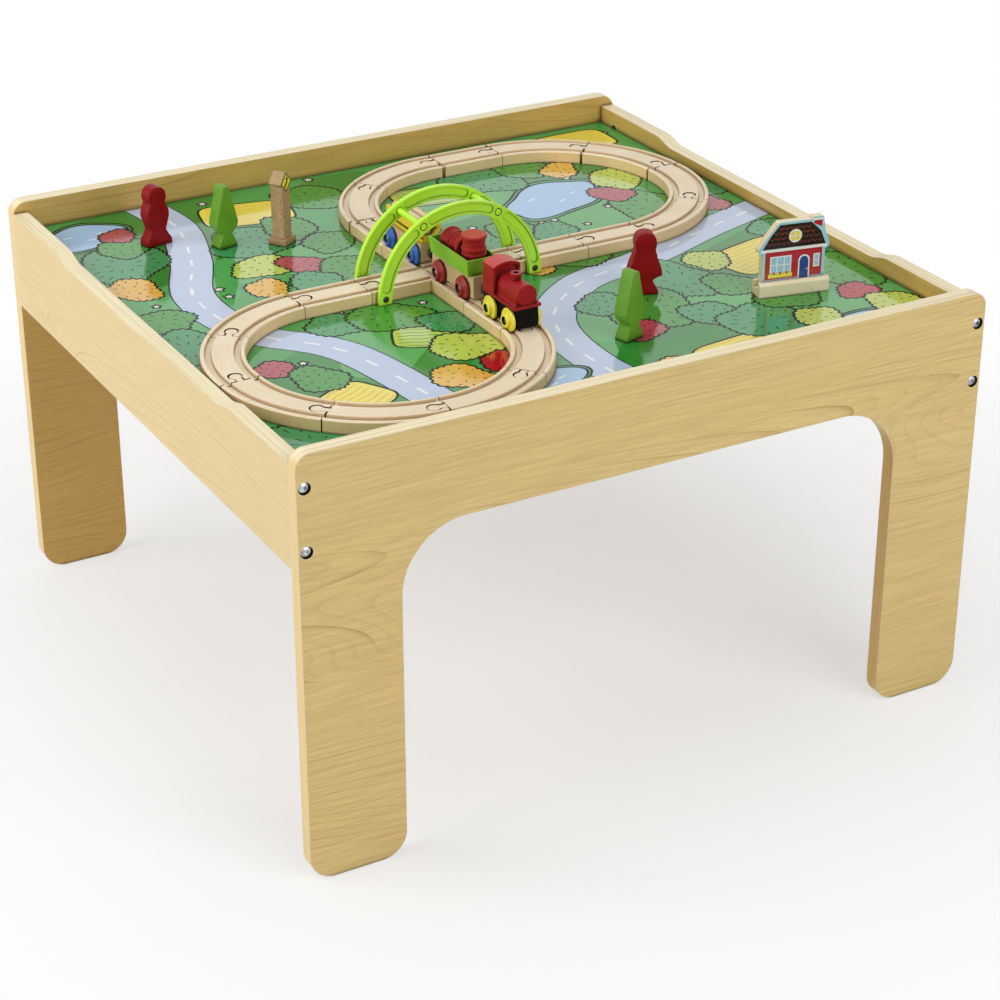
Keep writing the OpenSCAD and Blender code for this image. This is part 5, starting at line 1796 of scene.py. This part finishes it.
@dataclass
class BarrelWagon(RollingStock):
    """The wagon with the green tray and its two barrels."""

    def build(self) -> list[str]:
        """Dress the chassis, the tray, the barrels, the wheels and the couplings.

        Returns:
            The names of the pieces.
        """
        made = self.paint(FINISHES.wagon, "barrel_wagon_chassis")
        made += self.paint(FINISHES.tray, "barrel_wagon_tray")
        made += self.paint(FINISHES.barrel, "standing_barrel", "lying_barrel")
        # Painted highlight: the ends of the barrels in a lighter, more orange red.
        self.paint_faces(FINISHES.barrel_end_highlight, "standing_barrel", lambda c, n: abs(n.z) > self.square_on)
        self.paint_faces(FINISHES.barrel_end_highlight, "lying_barrel", lambda c, n: abs(n.y) > self.square_on)
        made += self.wheels(FINISHES.wheel_red, "barrel_wagon_front_wheels", "barrel_wagon_rear_wheels")
        return made + self.couplings("barrel_wagon_couplings")


@dataclass
class LogWagon(RollingStock):
    """The wagon with logs in its yellow cradle."""

    def build(self) -> list[str]:
        """Dress the chassis, the cradle, the logs, the wheels and the couplings.

        Returns:
            The names of the pieces.
        """
        made = self.paint(FINISHES.wagon, "log_wagon_chassis")
        made += self.paint(FINISHES.cradle, "log_wagon_cradle")
        made += self.paint(FINISHES.log, "log_wagon_logs")
        made += self.wheels(FINISHES.blue, "log_wagon_front_wheels", "log_wagon_rear_wheels")
        return made + self.couplings("log_wagon_couplings")


@dataclass
class Bridge(SubAssembly):
    """Two lime arches on rods, with black pins at their feet."""

    rod_turn: float = math.radians(60.5)
    rod_turn_reach: float = 80.5 * MM
    ring_reach: float = 3.95 * MM
    field_reach: float = 5.2 * MM
    foot_rise: float = 2 * MM

    def build(self) -> list[str]:
        """Dress the arches, the rods and the pins.

        Returns:
            The names of the pieces.
        """
        made = self.paint(FINISHES.lime, "bridge_front_arch", "bridge_back_arch", "bridge_rods")
        low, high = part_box("bridge_front_arch")
        middle = (low.x + high.x) / 2
        ends = [middle + side * self.rod_turn_reach * math.cos(self.rod_turn) for side in (-1, 1)]
        top = low.z + self.rod_turn_reach * math.sin(self.rod_turn)

        def at_field(centre: Vector, normal: Vector) -> bool:
            """Whether a face is a wall of the sunken fields along an arch.

            Args:
                centre: The face's middle.
                normal: The face's normal.

            Returns:
                True for such a face.
            """
            off_line = abs(math.hypot(centre.x - middle, centre.z - low.z) - self.rod_turn_reach)
            above_foot = centre.z > low.z + self.foot_rise
            return abs(normal.y) < self.edgewise and off_line < self.field_reach and above_foot

        def at_rod(centre: Vector, normal: Vector) -> bool:
            """Whether a face belongs to the ring around a rod's end."""
            return any(math.hypot(centre.x - x, centre.z - top) < self.ring_reach for x in ends)

        for name in ("bridge_front_arch", "bridge_back_arch"):
            # Painted shade: the walls of the sunken fields in a darker lime.
            self.paint_faces(FINISHES.field_edge_shade, name, at_field)
            self.paint_faces(FINISHES.ring, name, at_rod)
        return made + self.paint(FINISHES.cup, "bridge_pins")


@dataclass
class StandingToys(SubAssembly):
    """The figures and the trees, cut from thick board with rounded edges."""

    rounding: float = 0.6 * MM

    def build(self) -> list[str]:
        """Dress the toys and round their edges.

        Returns:
            The names of the pieces.
        """
        toys = self.paint(FINISHES.figure, "man_figure", "woman_figure")
        toys += self.paint(FINISHES.tree, "back_tree", "front_tree")
        return [self.soften(name, self.rounding).name for name in toys]


@dataclass
class RoadSign(SubAssembly):
    """The wooden post with a bend-ahead sign on its head. The points of its symbol are in millimetres."""

    rounding: float = 0.5 * MM
    rounding_steps: int = 2
    turn: float = math.radians(34.0)
    head: float = 15 * MM
    thickness: float = 14 * MM
    sticker: float = 9.8 * MM
    border: float = 1.1 * MM
    film: float = 0.2 * MM
    bend: tuple[Point, ...] = ((-1.5, -5.4), (-1.5, -2.4), (1.5, 0.4), (1.5, 2.8))
    bend_steps: int = 8
    bend_width: float = 2.3 * MM
    arrow: tuple[Point, ...] = ((-1.1, 2.6), (4.1, 2.6), (1.5, 5.8))

    def build(self) -> list[str]:
        """Dress the post and put the sign on the front of its head.

        Returns:
            The names of the pieces.
        """
        self.paint(FINISHES.sign, "sign_post")
        post = self.soften("sign_post", self.rounding, self.rounding_steps)
        low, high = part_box("sign_post")
        art = Artwork(self.diamond(self.sticker), Ink.BLACK)
        art.shape(self.diamond(self.sticker - self.border * math.sqrt(2)), Ink.SIGN_YELLOW)
        bend = smooth_path([(x * MM, y * MM) for x, y in self.bend], self.bend_steps)
        art.shape(ribbon(bend, self.bend_width), Ink.BLACK)
        art.shape([(x * MM, y * MM) for x, y in self.arrow], Ink.BLACK)
        middle = Vector(((low.x + high.x) / 2, (low.y + high.y) / 2, high.z - self.head / math.sqrt(2)))
        place = self.upright(middle, self.turn, self.thickness / 2 + self.film)
        film = art.solid("sign_film", place, self.film, Ink.BLACK.value, Ink.BLACK.value)
        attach(film, frame["nodes"]["sign_post"]["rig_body"])
        return [post.name, film.name]

    def diamond(self, reach: float) -> list[Point]:
        """A square that stands on its corner."""
        return [(0.0, -reach), (reach, 0.0), (0.0, reach), (-reach, 0.0)]


@dataclass
class House(SubAssembly):
    """The printed house board in its wooden base.

    Points of the print are shares of the board's half width and of its height. A pair of points gives
    the lower and the upper corner of a rectangle, or the two ends of a bar.
    """

    turn: float = math.radians(-11.8)
    half_width: float = 36 * MM
    height: float = 66 * MM
    thickness: float = 8 * MM
    outline: tuple[Point, ...] = (
        (-0.88, 0.0), (0.88, 0.0), (0.88, 0.5), (0.98, 0.53), (1.0, 0.57), (0.98, 0.62),
        (0.86, 0.79), (0.81, 0.97), (0.78, 1.0), (0.5, 1.0), (0.46, 0.965), (-0.42, 0.965),
        (-0.48, 0.95), (-0.7, 0.8), (-0.98, 0.6), (-1.0, 0.57), (-0.98, 0.53), (-0.88, 0.5),
    )
    wall: Point = (0.8, 0.53)
    plinth: float = 0.115
    course_rows: int = 12
    course_low: float = 0.09
    course_pitch: float = 0.036
    course_line: float = 0.35 * MM
    chimney: tuple[Point, ...] = ((0.53, 0.9), (0.76, 0.84), (0.76, 0.965), (0.53, 0.965))
    chimney_cap: tuple[Point, Point] = ((0.5, 0.945), (0.79, 0.975))
    slates: tuple[Point, ...] = (
        (-0.9, 0.565), (0.9, 0.565), (0.74, 0.78), (0.46, 0.93), (-0.42, 0.93), (-0.66, 0.78),
    )
    tile_rows: tuple[Point, ...] = ((0.64, 0.79), (0.715, 0.71), (0.79, 0.58), (0.86, 0.47))
    tiles_per_share: float = 14
    tile_share: float = 0.8
    tile_tips: Span = (0.02, -0.01)
    tile_line: float = 0.5 * MM
    eaves: tuple[Point, Point] = ((-0.93, 0.53), (0.93, 0.575))
    gable: Point = (0.02, 0.745)
    gable_rim: float = 6.6 * MM
    gable_glass: float = 5.2 * MM
    gable_steps: int = 28
    gable_bars: tuple[tuple[Point, Point], ...] = (
        ((0.02, 0.66), (0.02, 0.83)), ((-0.13, 0.745), (0.17, 0.745)),
    )
    bar_width: float = 0.9 * MM
    door: Point = (0.3, 0.05)
    door_half: float = 0.16
    door_arch: Point = (0.36, 0.085)
    door_arch_steps: int = 12
    door_leaf: Point = (0.78, 0.94)
    door_knob: Point = (0.39, 0.22)
    door_knob_radius: float = 0.8 * MM
    door_knob_steps: int = 10
    doorstep: tuple[Point, Point] = ((0.08, 0.0), (0.52, 0.05))
    window: tuple[Point, Point] = ((-0.66, 0.19), (-0.06, 0.46))
    window_rim: float = 0.035
    window_bars: tuple[tuple[Point, Point], ...] = (
        ((-0.46, 0.2), (-0.46, 0.45)), ((-0.26, 0.2), (-0.26, 0.45)), ((-0.65, 0.325), (-0.07, 0.325)),
    )
    rim_height: float = 0.55
    flower_box: tuple[Point, Point] = ((-0.7, 0.135), (-0.02, 0.19))
    flower_count: int = 7
    flower_start: Point = (-0.63, 0.2)
    flower_pitch: float = 0.09
    flower_radius: float = 1.5 * MM
    flower_steps: int = 12
    side_window: tuple[Point, Point] = ((0.56, 0.24), (0.74, 0.44))
    side_rim: float = 0.03
    side_bar: tuple[Point, Point] = ((0.56, 0.34), (0.74, 0.34))
    side_bar_width: float = 0.8 * MM
    grain_shift: Triple = (0.3, 0.1, 0.0)

    def build(self) -> list[str]:
        """Dress the base and print the board on both sides.

        Returns:
            The names of the pieces.
        """
        made = self.paint(FINISHES.base, "house_base")
        self.turn_grain("house_base")
        low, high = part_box("house_board")
        art = Artwork(self.scaled(self.outline), Ink.SKY)
        self.walls(art)
        self.roof(art)
        self.gable_window(art)
        self.front_door(art)
        self.windows(art)
        middle = Vector(((low.x + high.x) / 2, (low.y + high.y) / 2, low.z))
        place = self.upright(middle, self.turn, self.thickness / 2)
        board = art.solid("printed_house", place, self.thickness, FINISHES.base, None)
        board["grain_turn"], board["grain_shift"] = -self.turn, self.grain_shift
        self.stand_for(board, "house_board")
        return [*made, board.name]

    def scaled(self, shares: Iterable[Point]) -> list[Point]:
        """Points in metres from points in shares."""
        return [(x * self.half_width, y * self.height) for x, y in shares]

    def rimmed(self, art: Artwork, corners: tuple[Point, Point], line: float) -> None:
        """Paint a window pane in a white rim, whose width is a share and whose height follows from it.

        Args:
            art: The print.
            corners: The rim's lower and upper corner.
            line: The rim's width.
        """
        low, high = corners
        lift = line * self.rim_height
        art.box(*self.scaled([low, high]), Ink.WHITE)
        art.box(*self.scaled([(low[0] + line, low[1] + lift), (high[0] - line, high[1] - lift)]), Ink.WATER)

    def walls(self, art: Artwork) -> None:
        """Paint the brick wall with its courses and a pale plinth.

        Args:
            art: The print.
        """
        half, top = self.wall
        art.box(*self.scaled([(-half, 0.0), (half, top)]), Ink.BRICK)
        for row in range(1, self.course_rows):
            y = self.course_low + row * self.course_pitch
            art.bar(*self.scaled([(-half, y), (half, y)]), self.course_line, Ink.ROSE)
        art.box(*self.scaled([(-half, 0.0), (half, self.plinth)]), Ink.ROAD)

    def roof(self, art: Artwork) -> None:
        """Paint the chimney, the dark roof with rows of tiles and its pale eaves.

        Args:
            art: The print.
        """
        art.shape(self.scaled(self.chimney), Ink.BRICK)
        art.box(*self.scaled(self.chimney_cap), Ink.WHITE)
        art.shape(self.scaled(self.slates), Ink.SLATE)
        side, tip = self.tile_tips
        for row, half in self.tile_rows:
            count = int(half * self.tiles_per_share)
            reach = half / count * self.tile_share
            for tile in range(count):
                x = -half + (tile + 0.5) * 2 * half / count
                curve = [(x - reach, row + side), (x, row + tip), (x + reach, row + side)]
                art.shape(ribbon(self.scaled(curve), self.tile_line), Ink.ROSE)
        art.box(*self.scaled(self.eaves), Ink.WHITE)

    def gable_window(self, art: Artwork) -> None:
        """Paint the round window in the roof.

        Args:
            art: The print.
        """
        middle = self.scaled([self.gable])[0]
        art.disc(middle, self.gable_rim, Ink.WHITE, self.gable_steps)
        art.disc(middle, self.gable_glass, Ink.STRAW, self.gable_steps)
        for ends in self.gable_bars:
            art.bar(*self.scaled(ends), self.bar_width, Ink.WHITE)

    def front_door(self, art: Artwork) -> None:
        """Paint the arched door in its white frame, its knob and its step.

        Args:
            art: The print.
        """
        (middle, foot), (spring, rise), (wide, high) = self.door, self.door_arch, self.door_leaf
        angles = [math.pi * step / self.door_arch_steps for step in range(self.door_arch_steps + 1)]
        arch = [(middle + self.door_half * math.cos(a), spring + rise * math.sin(a)) for a in angles]
        opening = [(middle - self.door_half, foot), (middle + self.door_half, foot), *arch]
        leaf = [(middle + (x - middle) * wide, foot + (y - foot) * high) for x, y in opening]
        art.shape(self.scaled(opening), Ink.WHITE)
        art.shape(self.scaled(leaf), Ink.NAVY)
        art.disc(*self.scaled([self.door_knob]), self.door_knob_radius, Ink.STRAW, self.door_knob_steps)
        art.box(*self.scaled(self.doorstep), Ink.WHITE)

    def windows(self, art: Artwork) -> None:
        """Paint the windows with their bars and a box of flowers.

        Args:
            art: The print.
        """
        self.rimmed(art, self.window, self.window_rim)
        for ends in self.window_bars:
            art.bar(*self.scaled(ends), self.bar_width, Ink.WHITE)
        art.box(*self.scaled(self.flower_box), Ink.STRAW)
        left, height = self.flower_start
        for step in range(self.flower_count):
            spot = self.scaled([(left + step * self.flower_pitch, height)])[0]
            art.disc(spot, self.flower_radius, (Ink.LIME, Ink.ROSE)[step % 2], self.flower_steps)
        self.rimmed(art, self.side_window, self.side_rim)
        art.bar(*self.scaled(self.side_bar), self.side_bar_width, Ink.WHITE)


@dataclass(frozen=True)
class Lamp:
    """A soft square lamp that points at the object."""

    name: str
    place: Triple
    size: float
    power: float
    aim: ClassVar[Triple] = (0.0, 0.0, 0.35)

    def hang(self) -> None:
        """Put the lamp into the scene."""
        light = bpy.data.lights.new(self.name, "AREA")
        light.size, light.energy = self.size, self.power
        lamp = bpy.data.objects.new(self.name, light)
        lamp.location = self.place
        way = Vector(self.aim) - Vector(self.place)
        lamp.rotation_euler = way.to_track_quat("-Z", "Y").to_euler()
        bpy.context.scene.collection.objects.link(lamp)


@dataclass
class Studio:
    """Floor, lamps, backdrop and camera."""

    eye: Triple = (-1.1168, -2.0283, 1.3248)
    heading: float = 0.5132
    dip: float = 0.474
    focal_pixels: float = 2588.2
    image_pixels: float = 1000.0
    sensor: float = 36.0
    clip: Span = (0.05, 60.0)
    ambient: float = 0.2
    lamps: tuple[Lamp, ...] = (
        Lamp("left_lamp", (-2.1, 0.3, 1.1), size=1.8, power=32.0),
        Lamp("front_lamp", (0.5, -2.4, 1.5), size=2.0, power=34.0),
        Lamp("back_lamp", (1.35, 2.45, 1.9), size=2.4, power=8.0),
        Lamp("top_lamp", (-0.3, 0.2, 2.6), size=2.0, power=20.0),
    )
    floor_reach: float = 9.0
    floor_steps: int = 96
    floor_drop: float = 0.5 * MM
    floor_tone: Tone = Tone(246, 246, 246)
    floor_rough: float = 0.9
    white_span: Span = (0.2, 1.1)
    white_shares: Span = (0.5, 1.0)

    def build(self) -> None:
        """Set up everything around the object."""
        self.camera()
        self.backdrop()
        self.floor()
        for lamp in self.lamps:
            lamp.hang()
        bpy.context.scene.view_settings.view_transform = "Standard"

    def camera(self) -> None:
        """Stand the camera where the photograph was taken from."""
        lens = bpy.data.cameras.new("photo_camera")
        lens.sensor_width = self.sensor
        lens.lens = self.focal_pixels * self.sensor / self.image_pixels
        lens.clip_start, lens.clip_end = self.clip
        camera = bpy.data.objects.new("photo_camera", lens)
        camera.location = self.eye
        level = math.cos(self.dip)
        way = Vector((math.sin(self.heading) * level, math.cos(self.heading) * level, -math.sin(self.dip)))
        camera.rotation_euler = way.to_track_quat("-Z", "Y").to_euler()
        bpy.context.scene.collection.objects.link(camera)
        bpy.context.scene.camera = camera

    def seen(self, graph: Graph) -> Socket:
        """One where the camera sees a point directly, mirrored or through glass, and zero for other light.

        Args:
            graph: The material's graph.

        Returns:
            The value.
        """
        path = graph.add("LightPath")
        direct = graph.math("MAXIMUM", path.outputs["Is Camera Ray"], path.outputs["Is Glossy Ray"])
        return graph.math("MAXIMUM", direct, path.outputs["Is Transmission Ray"])

    def backdrop(self) -> None:
        """Surround the object with white that lights it softly."""
        world = bpy.data.worlds.new("studio_white")
        world.use_nodes = True
        world.node_tree.nodes.clear()
        graph = Graph(world.node_tree)
        light = graph.add("Background")
        graph.put(light.inputs["Strength"], graph.spread(self.seen(graph), 0.0, 1.0, self.ambient, 1.0))
        graph.put(graph.add("OutputWorld").inputs["Surface"], light.outputs[0])
        bpy.context.scene.world = world

    def floor(self) -> None:
        """Lay a pale floor that keeps the object's shadow and turns white away from it."""
        body = bmesh.new()
        bmesh.ops.create_circle(body, cap_ends=True, segments=self.floor_steps, radius=self.floor_reach)
        mesh = bpy.data.meshes.new("studio_floor")
        body.to_mesh(mesh)
        body.free()
        floor = bpy.data.objects.new("studio_floor", mesh)
        floor.location.z = -self.floor_drop
        bpy.context.scene.collection.objects.link(floor)
        paper = bpy.data.materials.new("floor_paper")
        paper.use_nodes = True
        paper.node_tree.nodes.clear()
        graph = Graph(paper.node_tree)
        shaded = graph.add("BsdfPrincipled")
        graph.put(shaded.inputs["Base Color"], self.floor_tone.linear())
        graph.put(shaded.inputs["Roughness"], self.floor_rough)
        white = graph.add("Emission")
        place = graph.add("TexCoord")
        away = graph.vector("LENGTH", place.outputs["Object"])
        far = graph.spread(away, *self.white_span, *self.white_shares)
        blend = graph.add("MixShader")
        graph.put(blend.inputs[0], graph.math("MULTIPLY", far, self.seen(graph)))
        graph.put(blend.inputs[1], shaded.outputs[0])
        graph.put(blend.inputs[2], white.outputs[0])
        graph.put(graph.add("OutputMaterial").inputs["Surface"], blend.outputs[0])
        mesh.materials.append(paper)


def main() -> None:
    """Build the studio and every sub-assembly in order."""
    logging.basicConfig(level=logging.INFO, format="%(name)s: %(message)s")
    Studio().build()
    for assembly in (
        TableFrame(), PlayBoard(), TrackLoop(), Locomotive(), BarrelWagon(), LogWagon(), Bridge(),
        StandingToys(), RoadSign(), House(),
    ):
        for piece in assembly.build():
            LOG.info("%s: %s", type(assembly).__name__, piece)


if __name__ == "__main__":
    main()
